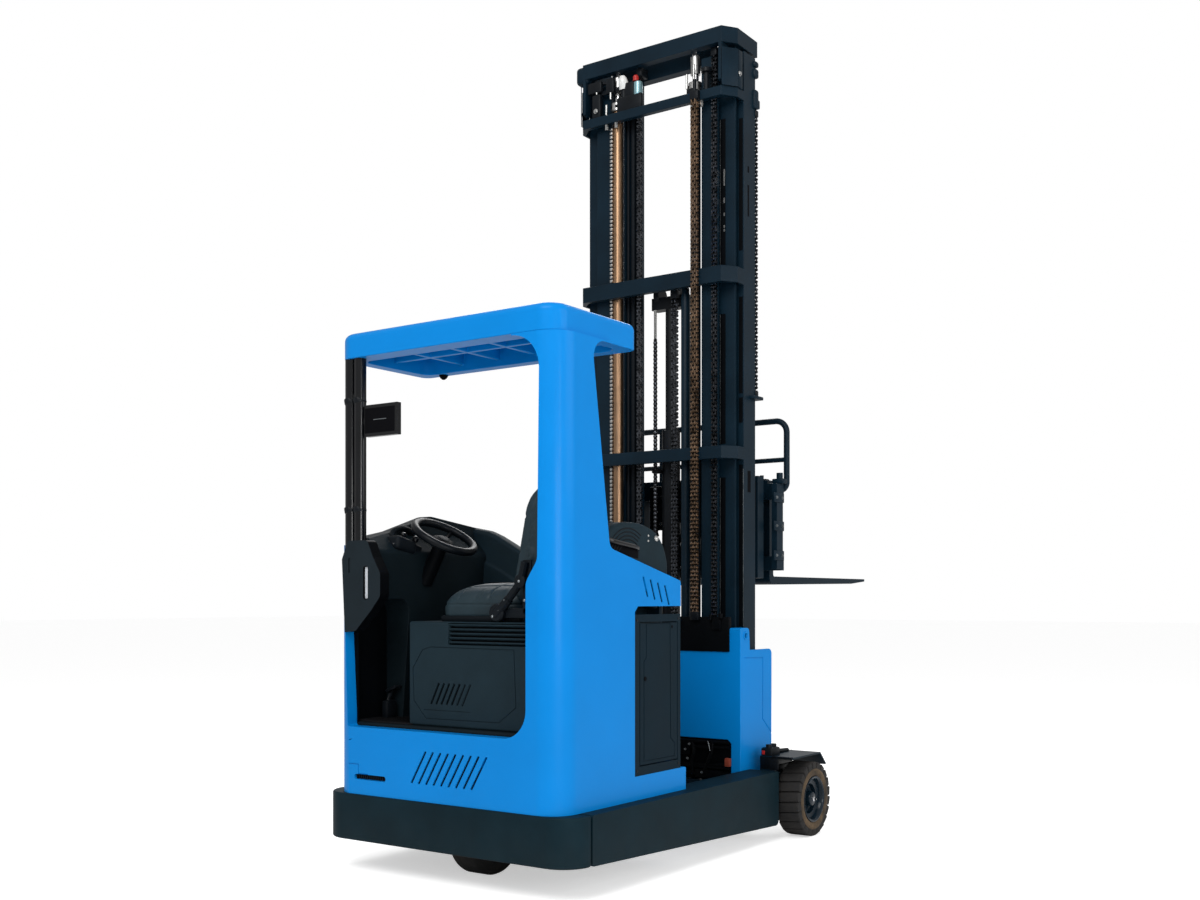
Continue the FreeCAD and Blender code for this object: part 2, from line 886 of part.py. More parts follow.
def dashboard():
    """Console and hood along the left wall, in front of the driver."""
    y1 = body_half - panel_wall
    section = [
        (dash_inner_y + 60, floor_height),
        (y1, floor_height),
        (y1, dash_height),
        (dash_brow_y + 25, dash_height),
        (dash_brow_y, dash_height - 90, 30),
        (dash_inner_y, dash_height - 170, 30),
    ]
    rear = body_rear + 32 + trim_depth / 2
    front = body_front - bulkhead
    profile = [
        (station(dash_start), floor_height),
        (front, floor_height),
        (front, dash_front_height),
        (station(dash_peak_station), dash_height - 1, 120),
        (station(dash_start) - 30, dash_rear_height + 38, 150),
        (rear, dash_rear_height),
        (rear, dash_lowest),
        (station(dash_start), dash_lowest, 60),
    ]
    whole = rear_prism(section, rear, front).common(side_prism(profile, 0, body_half))
    under = block(station(seat_box_front), body_front, 0, body_half, floor_height - 1, deck_top)
    return whole.cut(under)


def steer_axis():
    tilt = math.radians(steer_tilt)
    return Vector(0, -math.sin(tilt), math.cos(tilt))


def steering_wheel():
    """Ring, hub and two spokes."""
    centre = Vector(station(steer_station), steer_y, steer_height)
    axis = steer_axis()
    ring = Part.makeTorus((wheel_ring_d - wheel_ring_wire) / 2, wheel_ring_wire / 2, centre, axis)
    hub = Part.makeCylinder(38, 34, centre - axis * 30, axis)
    hub = hub.cut(Part.makeCylinder(steer_shaft_d / 2 + pin_clearance, 22, centre - axis * 31, axis))
    spoke = Part.makeBox(wheel_ring_d - 30, 30, 12, Vector(-(wheel_ring_d - 30) / 2, -15, -14))
    turn = FreeCAD.Rotation(Vector(0, 0, 1), axis)
    spoke.Placement = FreeCAD.Placement(centre, turn)
    spoke = spoke.cut(Part.makeCylinder(38, 40, centre - axis * 30, axis))
    return join([ring, hub, spoke])


def steering_column():
    centre = Vector(station(steer_station), steer_y, steer_height)
    axis = steer_axis()
    sleeve = Part.makeCylinder(32, 190, centre - axis * 225, axis)
    shaft = Part.makeCylinder(steer_shaft_d / 2, 26, centre - axis * 37, axis)
    return join([sleeve, shaft]).cut(dashboard())


def pedals():
    """Two pedals on the floor."""
    made = []
    for x in (station(250), station(350)):
        plate = block(x - 30, x + 30, 330, 342, floor_height + 60, floor_height + 170)
        stalk = block(x - 10, x + 10, 334, 375, floor_height, floor_height + 80)
        made.append(join([plate, stalk]))
    return made


# ---------------------------------------------------------------- reach carriage
def carriage_cover():
    """Blue plate across the mast's foot."""
    half = carriage_half - cover_side
    return block(carriage_rear, carriage_rear + cover_plate, -half, half, cover_step, cover_top)


def cheek():
    """Left end of the blue cover, with its foot and its lifting ear."""
    half = carriage_half
    inner = half - cover_side
    x0 = carriage_rear
    ear = [
        (x0 + ear_length, cover_top),
        (x0 + ear_length - 7, cover_top + ear_height, 22),
        (x0, cover_top + ear_height, 12),
    ]
    outline = [
        (x0, cover_foot),
        (carriage_front - cheek_step_back, cover_foot, 20),
        (carriage_front - cheek_step_back, cover_step - cheek_step_drop - 20, 12),
        (carriage_front, cover_step - cheek_step_drop, 20),
        (carriage_front, cover_top, 25),
    ]
    sheet = side_prism(outline + ear, inner, half)
    ear_plate = side_prism([(x0, cover_top)] + ear, half - ear_width, inner + 1)
    corner = half - foot_width
    foot_outline = [
        (inner + 1, cover_foot),
        (corner, cover_foot),
        (corner, cover_step - foot_corner),
        (corner - foot_corner, cover_step),
        (inner + 1, cover_step),
    ]
    foot = rear_prism(foot_outline, x0, x0 + cover_plate)
    ear_hole = rod_y(half - ear_width - 1, half + 1, x0 + ear_hole_back, ear_hole_height, ear_hole_d)
    return join([sheet, ear_plate, foot]).cut(ear_hole)


def reach_frame():
    """Side plates, rear cross box and guide rollers of the reach carriage."""
    half = carriage_half - cover_side
    x0 = carriage_rear + cover_plate
    plate = block(x0, carriage_front - 5, mast_half_width, half, track_bottom - 5, cover_step - 5)
    shapes = [plate]
    for x in (x0 + 42, carriage_front - 60):
        shapes.append(rod_y(half - 5, leg_inner + 10, x, reach_axis_height - 5, 40))
        shapes.append(rod_y(leg_inner + 6, leg_inner + track_depth - 8, x, reach_axis_height - 5, roller_d))
    cross_x = station(beam_station)
    cross_front = cross_x + reach_cross_depth
    shapes.append(block(cross_x, x0 + 1, mast_half_width, half, track_bottom - 20, reach_cross_top))
    seat_x = station(lift_cylinder_station) + lift_barrel_d / 2
    y0 = lift_cylinder_y - lift_barrel_d / 2
    shapes.append(block(cross_x, seat_x, y0, y0 + lift_barrel_d, reach_cross_top - 22, reach_cross_top))
    right = [mirror(shape) for shape in shapes]
    cross = block(cross_x, cross_front, -half, half, track_bottom - 20, reach_cross_top)
    return join(shapes + right + [cross])


def reach_barrels():
    """Two reach cylinders in the base, one beside each leg."""
    x0 = station(reach_barrel_rear)
    x1 = station(frame_length) - 2
    made = []
    for y in (-reach_cylinder_y, reach_cylinder_y):
        shape = rod_x(x0, x1, y, reach_axis_height, reach_barrel_d)
        bore = rod_x(x0 + reach_end_wall, x1 + 1, y, reach_axis_height, reach_rod_d + 2 * reach_bore_gap)
        made.append(shape.cut(bore))
    return made


def reach_rods():
    """Rods of the reach cylinders, fixed to the carriage's cross box."""
    x0 = station(reach_barrel_rear + reach_end_wall) + reach_travel + 10
    x1 = station(beam_station)
    return [rod_x(x0, x1, y, reach_axis_height, reach_rod_d) for y in (-reach_cylinder_y, reach_cylinder_y)]


# ---------------------------------------------------------------- mast
def rail(x0, y_web, inward, outward, z0, z1):
    """Left rail: a web along the truck, with flanges reaching inward and outward from it."""
    x1 = x0 + rail_depth
    web_plate = block(x0, x1, y_web, y_web + web, z0, z1)
    rear = block(x0, x0 + flange, y_web - inward, y_web + web + outward, z0, z1)
    front = block(x1 - flange, x1, y_web - inward, y_web + web + outward, z0, z1)
    return join([web_plate, rear, front])


def guide_rollers(own_web, next_web, channel_x, z):
    """Pair of rollers at a stage's foot, running in the channels of the stage outside it."""
    d = rail_depth - 2 * (flange + running_gap)
    left = rod_y(own_web + web - 1, next_web - running_gap, channel_x + rail_depth / 2, z, d)
    return [left, mirror(left)]


outer_x = station(outer_rail_station)
middle_x = outer_x - stage_step
inner_x = middle_x - stage_step
outer_web = mast_half_width - web
middle_web = outer_web - stage_pitch
inner_web = middle_web - inner_pitch
outer_top = mast_height - top_beam_height - 12
middle_foot = mast_foot - 15
inner_foot = middle_foot + 75
inner_top = outer_top - 20


def cross_beam(top, height, reach):
    """Rear cross beam with its corners cut off, returning forward to the outer rails."""
    x0 = station(beam_station)
    corner = x0 + 70
    end = mast_half_width
    outer = [
        (x0, -beam_half_width),
        (x0, beam_half_width),
        (corner, end),
        (reach, end),
        (reach, end - web),
        (corner + 10, end - web),
        (x0 + beam_depth, beam_half_width - 14),
        (x0 + beam_depth, -beam_half_width + 14),
        (corner + 10, -end + web),
        (reach, -end + web),
        (reach, -end),
        (corner, -end),
    ]
    return plan_prism(outer, top - height, top)


def mast_outer():
    """Outer mast: two channels tied by the rear cross beams."""
    left = rail(outer_x, outer_web, outer_flange_reach, 0, mast_foot, outer_top)
    shapes = [left, mirror(left)]
    beams = ((beam2_top, beam2_height), (beam3_top, beam3_height), (beam4_top, beam4_height))
    for top, height in beams:
        shapes.append(cross_beam(top, height, outer_x + 30))
    return join(shapes)


def lift_barrels():
    """Two lift cylinders behind the rails."""
    x = station(lift_cylinder_station)
    made = []
    for y in (-lift_cylinder_y, lift_cylinder_y):
        barrel = rod_z(reach_cross_top, beam2_top + 30, x, y, lift_barrel_d)
        bore = rod_z(reach_cross_top + 38, beam2_top + 40, x, y, lift_rod_d + 1)
        made.append(barrel.cut(bore))
    return made


def mast_middle():
    """Middle mast with the deep top beam."""
    left = rail(middle_x, middle_web, 46, 46, middle_foot, outer_top + 12)
    shapes = [left, mirror(left)]
    x0 = station(beam_station)
    z0 = mast_height - top_beam_height
    arm_inner = middle_web - 2
    front = outer_x + rail_depth + 20
    outline = [
        (x0, -beam_half_width),
        (x0, beam_half_width),
        (x0 + 70, mast_half_width),
        (front, mast_half_width),
        (front, arm_inner),
        (x0 + 45, arm_inner),
        (x0 + 45, -arm_inner),
        (front, -arm_inner),
        (front, -mast_half_width),
        (x0 + 70, -mast_half_width),
    ]
    shapes.append(plan_prism(outline, z0, mast_height))
    lug_x = station(lift_cylinder_station)
    for y in (-lift_cylinder_y, lift_cylinder_y):
        shapes.append(block(x0 + 40, lug_x + 20, y - 20, y + 20, z0, mast_height))
    foot = block(middle_x + 20, middle_x + 70, -middle_web - 5, middle_web + 5, middle_foot, middle_foot + 62)
    shapes.append(foot)
    shapes += guide_rollers(middle_web, outer_web, outer_x, middle_foot + roller_rise)
    for side in (-1, 1):
        y0 = side * (beam_half_width - 16)
        y1 = side * beam_half_width
        gusset = [
            (x0, z0 + 5),
            (x0, beam2_top + 30),
            (x0 + 36, beam2_top + 15),
            (x0 + 70, z0 - 60),
            (x0 + 70, z0 + 5),
        ]
        shapes.append(side_prism(gusset, y0, y1))
    return join(shapes)


def lift_rods():
    """Rods of the lift cylinders, fixed under the top beam."""
    x = station(lift_cylinder_station)
    z0 = beam2_top - stage_travel - 200
    z1 = mast_height - top_beam_height
    return [rod_z(z0, z1, x, y, lift_rod_d) for y in (-lift_cylinder_y, lift_cylinder_y)]


def mast_inner():
    """Inner mast, in which the lift carriage runs."""
    left = rail(inner_x, inner_web, 30, 44, inner_foot, inner_top)
    shapes = [left, mirror(left)]
    x0 = inner_x + 56
    shapes.append(block(x0, x0 + 50, -inner_web - 5, inner_web + 5, inner_foot, inner_foot + 68))
    z0 = inner_top - inner_beam_lap
    shapes.append(block(x0, x0 + 50, -inner_web - 5, inner_web + 5, z0, z0 + inner_beam_height))
    shapes += guide_rollers(inner_web, middle_web, middle_x, inner_foot + roller_rise)
    return join(shapes)


def free_lift_barrel():
    z0 = inner_foot + 68
    x = station(free_station)
    shape = rod_z(z0, free_barrel_top, x, free_y, free_barrel_d)
    return shape.cut(rod_z(z0 + 40, free_barrel_top + 1, x, free_y, free_rod_d + 1))


def free_lift_head():
    """Rod of the free-lift cylinder with its cross head and two chain sheaves."""
    x = station(free_station)
    travel_low = 560
    rod = rod_z(free_barrel_top - travel_low - 300, free_head_height, x, free_y, free_rod_d)
    head = block(x - 30, x + 30, free_y - 95, free_y + 95, free_head_height - 10, free_head_height + 50)
    shapes = [rod, head]
    for y in (free_y - 78, free_y + 48):
        shapes.append(rod_y(y, y + 30, x, free_head_height + 60, 84))
    return join(shapes)


# ---------------------------------------------------------------- lift carriage and forks
def lift_carriage():
    """Roller plates in the inner mast and the frame in front of it."""
    x0 = inner_x + 38
    x1 = station(lift_front_station) + 5
    plate = block(x0, x1, plate_y - plate_thickness, plate_y, lift_plate_bottom, lift_plate_top)
    shapes = [plate]
    roller_x = inner_x + rail_depth / 2
    for z in (lift_plate_bottom + 55, lift_plate_top - 55):
        shapes.append(rod_y(plate_y - 5, inner_web - 4, roller_x, z, 26))
        shapes.append(rod_y(plate_y + 9, inner_web - 3, roller_x, z, rail_depth - 2 * (flange + running_gap)))
    shapes += [mirror(shape) for shape in shapes]
    front = station(lift_front_station)
    back = front + lift_front_depth
    half = lift_front_half
    shapes.append(block(front, back, -half, half, fork_frame_top - 70, fork_frame_top + 25))
    shapes.append(block(front, back, -half, half, fork_frame_bottom - 40, fork_frame_bottom + 50))
    for y in (-half, -plate_y, plate_y - 30, half - 30):
        shapes.append(block(front, back, y, y + 30, fork_frame_bottom - 40, fork_frame_top + 25))
    pin_x = station(tilt_station)
    for side in (-1, 1):
        y0 = side * 340 - 45
        shapes.append(rod_y(y0 - 20, y0 + 110, pin_x, tilt_height, tilt_pin_d))
        for y in (y0 - 20, y0 + 90):
            shapes.append(block(back - 5, pin_x, y, y + 20, tilt_height - 26, tilt_height + 26))
            shapes.append(rod_y(y, y + 20, pin_x, tilt_height, 52))
    return join(shapes)


def tilt_barrels():
    """Tilt cylinders lying on the carriage's lower bar."""
    z = tilt_height - tilt_arm
    bar = station(lift_front_station)
    x1 = bar + 35
    x0 = x1 - tilt_barrel_length
    made = []
    for y in (-tilt_cylinder_y, tilt_cylinder_y):
        barrel = rod_x(x0, x1, y, z, tilt_barrel_d)
        saddle = block(bar + 3, bar + 33, y - 20, y + 20, fork_frame_bottom + 50, z)
        bore = rod_x(x0 + 20, x1 + 1, y, z, tilt_rod_d + 2 * pin_clearance)
        made.append(join([barrel, saddle]).cut(bore))
    return made


def tilt_rods():
    """Rods of the tilt cylinders, each with an eye right under the tilt pins."""
    z = tilt_height - tilt_arm
    x0 = station(lift_front_station) - 25
    eye_x = station(tilt_station)
    made = []
    for y in (-tilt_cylinder_y, tilt_cylinder_y):
        rod = rod_x(x0, eye_x, y, z, tilt_rod_d)
        eye = rod_y(y - 11, y + 11, eye_x, z, 42)
        hole = rod_y(y - 20, y + 20, eye_x, z, 24)
        made.append(join([rod, eye]).cut(hole))
    return made


def fork_frame():
    """Tilting frame that carries the forks."""
    x0 = station(fork_frame_station)
    x1 = x0 + fork_frame_depth
    half = fork_frame_half
    mid = x0 + 35
    shapes = [
        block(mid, x1, -half, half, fork_frame_top - 80, fork_frame_top),
        block(mid, x1, -half, half, fork_frame_bottom, fork_frame_bottom + 70),
    ]
    for y in (-half, -120, 90, half - 30):
        shapes.append(block(x0, x1 - 10, y, y + 30, fork_frame_bottom + 5, fork_frame_top - 5))
    pin_x = station(tilt_station)
    for side in (-1, 1):
        y0 = side * 340 - 38
        arm = block(pin_x, mid + 5, y0, y0 + 76, tilt_height - 26, tilt_height + 22)
        shapes.append(join([arm, rod_y(y0, y0 + 76, pin_x, tilt_height, 52)]))
    z = tilt_height - tilt_arm
    eye_x = pin_x
    for y in (-tilt_cylinder_y, tilt_cylinder_y):
        for offset in (-30, 16):
            lug = block(eye_x, mid + 11, y + offset, y + offset + 14, z - 20, z + 20)
            shapes.append(join([lug, rod_y(y + offset, y + offset + 14, eye_x, z, 40)]))
        shapes.append(rod_y(y - 30, y + 30, eye_x, z, 20))
        shapes.append(block(mid + 10, x1 - 5, y - 30, y + 30, fork_frame_bottom + 60, z + 20))
    shape = join(shapes)
    bore_d = tilt_pin_d + 2 * pin_clearance
    for side in (-1, 1):
        shape = shape.cut(rod_y(side * 340 - 40, side * 340 + 40, pin_x, tilt_height, bore_d))
    return shape


def fork(side):
    """One fork: shank, hooks and tapered blade."""
    y0 = side * fork_spread - fork_width / 2
    x0 = fork_back
    x1 = x0 + fork_thickness
    top = fork_frame_top + 20
    tip = fork_tip_x
    outline = [
        (x0, fork_bottom, fork_heel_r),
        (tip - 200, fork_bottom + 14),
        (tip, fork_bottom + fork_thickness - fork_tip_thickness, 4),
        (tip, fork_bottom + fork_thickness, 2),
        (x1, fork_bottom + fork_thickness, 12),
        (x1, top, 6),
        (x0 - 22, top, 6),
        (x0 - 22, fork_frame_top),
        (x0, fork_frame_top),
    ]
    shape = side_prism(outline, y0, y0 + fork_width)
    plan = [
        (x0 - 30, y0),
        (x0 - 30, y0 + fork_width),
        (tip, y0 + fork_width, fork_tip_r),
        (tip, y0, fork_tip_r),
    ]
    return shape.common(plan_prism(plan, fork_bottom - 1, top + 1))


def bent_tube(corners, x, d):
    """Round tube in the plane X = x, through corners (y, z) or (y, z, radius), open at its ends."""
    wire = rounded_wire(corners, lambda u, v: Vector(x, u, v))
    path = Part.Wire(wire.Edges[:-1])
    first = path.Edges[0]
    begin = first.firstVertex().Point
    ahead = first.lastVertex().Point - begin
    start = Part.Wire(Part.makeCircle(d / 2, begin, ahead))
    return path.makePipeShell([start], True, True)


def load_rest():
    """Load backrest: a tube loop with a middle bar, clamped to the fork frame's face."""
    x = fork_back + 20
    half = rest_half - rest_tube / 2
    z0 = fork_frame_top - 55
    z1 = rest_top - rest_tube / 2
    foot_z = z0 + 22
    foot_y = half - rest_foot
    loop = [
        (-foot_y, foot_z),
        (-half, foot_z, rest_foot_r),
        (-half, z1, rest_bend_r),
        (half, z1, rest_bend_r),
        (half, foot_z, rest_foot_r),
        (foot_y, foot_z),
    ]
    bars = [bent_tube(loop, x, rest_tube), rod_y(-half, half, x, z1 - 195, rest_tube * 0.8)]
    for side in (-1, 1):
        y = side * (foot_y + 10)
        bars.append(block(fork_back, x, y - 15, y + 15, z0, z0 + 45))
        y = side * 250
        bars.append(rod_z(z0, z1, x, y, rest_tube * 0.8))
        bars.append(block(fork_back, x, y - 20, y + 20, z0, z0 + 45))
    return join(bars)


# ---------------------------------------------------------------- write everything
save("base_frame", base_frame())
save("rear_bumper", rear_bumper())
save("left_leg", leg())
save("right_leg", mirror(leg()))
save("left_mudguard", mudguard())
save("right_mudguard", mirror(mudguard()))
mid_wheel = (wheel_inner + wheel_outer) / 2
left_tyre = tyre(wheel_x, mid_wheel, wheel_r, wheel_width, wheel_r * rim_ratio, 16)
save("left_tyre", left_tyre)
save("right_tyre", mirror(left_tyre))
save("left_rim", load_rim())
save("right_rim", mirror(load_rim()))
save("drive_tyre", tyre(drive_x, 0, drive_r, drive_wheel_width, drive_wheel_d * 0.37, 10))
save("drive_hub", drive_hub())
save("drive_fork", drive_fork())
save("drive_motor", drive_motor())
save("rear_panel", rear_panel())
save("right_side", right_side())
save("left_side", left_side())
save("roof", roof())
save("left_post", left_post())
save("rear_display", rear_display())
save("right_cover", side_cover(-1))
save("left_cover", side_cover(1))
save("right_door", service_door(-1))
save("left_door", service_door(1))
save("front_bulkhead", front_bulkhead())
save("battery", battery())
save("cab_floor", cab_floor())
save("seat_box", seat_box())
save("deck", deck())
save("seat_cushion", seat_cushion())
save("seat_back", seat_back())
save("side_cowl", side_cowl())
save("dashboard", dashboard())
save("steering_wheel", steering_wheel())
save("steering_column", steering_column())
save("pedals", *pedals())
save("carriage_cover", carriage_cover())
save("left_cheek", cheek())
save("right_cheek", mirror(cheek()))
save("reach_frame", reach_frame())
save("reach_barrels", *reach_barrels())
save("reach_rods", *reach_rods())
save("mast_outer", mast_outer())
save("lift_barrels", *lift_barrels())
save("mast_middle", mast_middle())
save("lift_rods", *lift_rods())
save("mast_inner", mast_inner())
save("free_lift_barrel", free_lift_barrel())
save("free_lift_head", free_lift_head())
save("lift_carriage", lift_carriage())
save("tilt_barrels", *tilt_barrels())
save("tilt_rods", *tilt_rods())
save("fork_frame", fork_frame())
save("left_fork", fork(1))
save("right_fork", fork(-1))
save("load_rest", load_rest())
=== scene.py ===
# %% [markdown]
# # A reach truck, finished in Blender
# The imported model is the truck's construction: every panel, rail, wheel and pin at its real place.
# This script gives it its looks. The model is loaded first and never moved, and each new piece
# is placed from the boxes of the nodes it belongs to.

# %% Load the frame
import json
import math

import bmesh
import bpy
from mathutils import Matrix, Vector
from mathutils.bvhtree import BVHTree


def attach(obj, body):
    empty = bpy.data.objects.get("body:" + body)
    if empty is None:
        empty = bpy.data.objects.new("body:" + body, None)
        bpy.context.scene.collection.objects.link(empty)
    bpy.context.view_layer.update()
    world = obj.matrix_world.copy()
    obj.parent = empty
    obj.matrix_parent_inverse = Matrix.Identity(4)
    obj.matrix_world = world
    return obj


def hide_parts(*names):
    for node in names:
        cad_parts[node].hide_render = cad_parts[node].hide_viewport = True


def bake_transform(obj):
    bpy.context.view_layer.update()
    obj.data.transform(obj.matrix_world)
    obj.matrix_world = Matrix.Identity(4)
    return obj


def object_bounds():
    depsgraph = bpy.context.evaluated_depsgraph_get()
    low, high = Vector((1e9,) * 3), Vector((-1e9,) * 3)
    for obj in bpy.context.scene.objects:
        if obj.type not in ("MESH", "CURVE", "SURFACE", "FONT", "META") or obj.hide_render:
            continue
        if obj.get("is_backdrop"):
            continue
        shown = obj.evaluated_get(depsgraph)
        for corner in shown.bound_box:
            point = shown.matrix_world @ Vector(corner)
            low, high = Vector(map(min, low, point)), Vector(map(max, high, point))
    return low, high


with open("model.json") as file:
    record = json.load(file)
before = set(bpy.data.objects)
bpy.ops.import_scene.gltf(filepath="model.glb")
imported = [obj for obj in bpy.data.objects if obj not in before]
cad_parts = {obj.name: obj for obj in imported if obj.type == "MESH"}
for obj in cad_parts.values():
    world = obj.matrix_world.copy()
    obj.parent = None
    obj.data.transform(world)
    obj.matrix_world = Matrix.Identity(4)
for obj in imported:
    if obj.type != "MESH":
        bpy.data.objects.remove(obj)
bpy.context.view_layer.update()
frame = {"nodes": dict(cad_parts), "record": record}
BODY_OF = {node: body for body, nodes in frame["record"]["behaviour"]["bodies"].items() for node in nodes}
SLOT_OF = {part["node"]: part["material_slot"] for part in frame["record"]["subparts"]}

# %% [markdown]
# ## The camera
# The truck is seen from behind and to its right by a camera that stands level, at a little over
# a metre. A level camera keeps the mast's rails upright, and a small upward shift of the lens
# frames the mast's top, which is how tall things are shown without leaning lines.

# %% Camera
EYE = Vector((-5.343, -3.397, 1.12))
HEADING = math.radians(35.02)
LENS_MM = 38.56
LENS_SHIFT = 0.1242

camera_data = bpy.data.cameras.new("camera")
camera_data.lens = LENS_MM
camera_data.sensor_width = 36.0
camera_data.shift_y = LENS_SHIFT
camera = bpy.data.objects.new("camera", camera_data)
camera.location = EYE
camera.rotation_euler = (math.radians(90), 0, HEADING - math.radians(90))
bpy.context.scene.collection.objects.link(camera)
bpy.context.scene.camera = camera
print("camera at", [round(value, 2) for value in EYE])

# %% [markdown]
# ## Floor and light
# A pale sweep of floor and soft, large lamps show shape without hard shadows. The camera sees
# floor and world lifted to white, while light and reflections find them at their plain level.
# So the page is white, the truck isn't overlit, and the floor keeps a shadow.


# %% What the camera sees
def plain_material(name):
    """A new material with its nodes and links."""
    material = bpy.data.materials.new(name)
    material.use_nodes = True
    return material, material.node_tree.nodes, material.node_tree.links


def seen_directly(nodes, links, unseen, seen):
    """A strength that is `seen` for camera and transmission rays, and `unseen` for all others."""
    paths = nodes.new("ShaderNodeLightPath")
    first = nodes.new("ShaderNodeMath")
    first.operation = "MAXIMUM"
    links.new(paths.outputs["Is Camera Ray"], first.inputs[0])
    links.new(paths.outputs["Is Transmission Ray"], first.inputs[1])
    strength = nodes.new("ShaderNodeMapRange")
    strength.inputs["To Min"].default_value = unseen
    strength.inputs["To Max"].default_value = seen
    links.new(first.outputs[0], strength.inputs["Value"])
    return strength.outputs["Result"]


# %% Floor, world and lamps
WORLD_LEVEL = 0.55
FLOOR_LIFT = 0.50


def pale_floor():
    """A wide pale floor that the camera sees nearly white."""
    material, nodes, links = plain_material("floor_paper")
    shader = nodes["Principled BSDF"]
    shader.inputs["Base Color"].default_value = (0.86, 0.86, 0.86, 1)
    shader.inputs["Roughness"].default_value = 0.9
    shader.inputs["Specular IOR Level"].default_value = 0.1
    shader.inputs["Emission Color"].default_value = (1, 1, 1, 1)
    links.new(seen_directly(nodes, links, 0.0, FLOOR_LIFT), shader.inputs["Emission Strength"])
    mesh = bpy.data.meshes.new("floor")
    half = 60.0
    corners = [(-half, -half, 0), (half, -half, 0), (half, half, 0), (-half, half, 0)]
    mesh.from_pydata(corners, [], [(0, 1, 2, 3)])
    mesh.materials.append(material)
    floor = bpy.data.objects.new("floor", mesh)
    bpy.context.scene.collection.objects.link(floor)
    floor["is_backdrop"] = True


def soft_world():
    """An even white surround."""
    world = bpy.data.worlds.new("studio")
    bpy.context.scene.world = world
    world.use_nodes = True
    nodes, links = world.node_tree.nodes, world.node_tree.links
    background = nodes["Background"]
    background.inputs["Color"].default_value = (1, 1, 1, 1)
    links.new(seen_directly(nodes, links, WORLD_LEVEL, 1.0), background.inputs["Strength"])


def softbox(name, place, aim, size, watts):
    """A rectangular lamp at a place, turned toward its aim."""
    lamp = bpy.data.lights.new(name, "AREA")
    lamp.shape = "RECTANGLE"
    lamp.size, lamp.size_y = size
    lamp.energy = watts
    lamp_object = bpy.data.objects.new(name, lamp)
    lamp_object.location = place
    direction = Vector(aim) - Vector(place)
    lamp_object.rotation_euler = direction.to_track_quat("-Z", "Y").to_euler()
    bpy.context.scene.collection.objects.link(lamp_object)


pale_floor()
soft_world()
softbox("key_lamp", (-6.0, -1.5, 6.0), (-1.0, 0, 1.2), (4.0, 4.0), 300)
softbox("side_lamp", (0.5, -7.5, 3.5), (0, 0, 1.3), (5.0, 3.0), 135)
softbox("fill_lamp", (-4.7, -4.9, 1.5), (-0.2, -0.2, 0.7), (1.5, 1.5), 54)
softbox("corner_lamp", (-4.6, -7.2, 1.9), (-1.4, -0.5, 1.3), (0.14, 3.0), 60)
softbox("mast_lamp", (4.5, 3.5, 6.0), (0, 0, 2.0), (4.0, 4.0), 220)
bpy.context.scene.view_settings.view_transform = "Standard"

# %% [markdown]
# ## Finishes
# Each finish is a small node tree on Object coordinates. A painted panel is never one flat
# colour: its tone drifts a little, its gloss is uneven, and fine peel in the lacquer breaks up
# reflections. The same builder serves every hard finish, with its own grain size and bump.


# %% Small groups of nodes
def noise(nodes, links, place, scale, detail=3.0):
    """A cloud pattern on Object coordinates."""
    cloud = nodes.new("ShaderNodeTexNoise")
    cloud.inputs["Scale"].default_value = scale
    cloud.inputs["Detail"].default_value = detail
    links.new(place.outputs["Object"], cloud.inputs["Vector"])
    return cloud.outputs["Fac"]


def span(nodes, links, value, low, high, from_low=0.0, from_high=1.0):
    """The value, stretched from one range to another."""
    made = nodes.new("ShaderNodeMapRange")
    made.inputs["From Min"].default_value = from_low
    made.inputs["From Max"].default_value = from_high
    made.inputs["To Min"].default_value = low
    made.inputs["To Max"].default_value = high
    links.new(value, made.inputs["Value"])
    return made.outputs["Result"]


def mixed(nodes, links, share, first, second):
    """First colour where share is 0, second where it is 1; each is a socket or a colour."""
    mix = nodes.new("ShaderNodeMix")
    mix.data_type = "RGBA"
    links.new(share, mix.inputs["Factor"])
    for colour, socket in ((first, mix.inputs["A"]), (second, mix.inputs["B"])):
        if isinstance(colour, tuple):
            socket.default_value = colour + (1,)
        else:
            links.new(colour, socket)
    return mix.outputs["Result"]


def multiplied(nodes, links, first, second):
    """The product of two values, kept between 0 and 1."""
    made = nodes.new("ShaderNodeMath")
    made.operation = "MULTIPLY"
    made.use_clamp = True
    links.new(first, made.inputs[0])
    links.new(second, made.inputs[1])
    return made.outputs[0]


def dusted(nodes, links, place, colour, dust_colour, height, amount):
    """Mixes floor dust in below a height, thinning upward in uneven patches."""
    split = nodes.new("ShaderNodeSeparateXYZ")
    links.new(place.outputs["Object"], split.inputs["Vector"])
    fade = span(nodes, links, split.outputs["Z"], 0.0, amount, height, 0.0)
    share = multiplied(nodes, links, fade, noise(nodes, links, place, 14.0, 6.0))
    return mixed(nodes, links, share, colour, dust_colour)


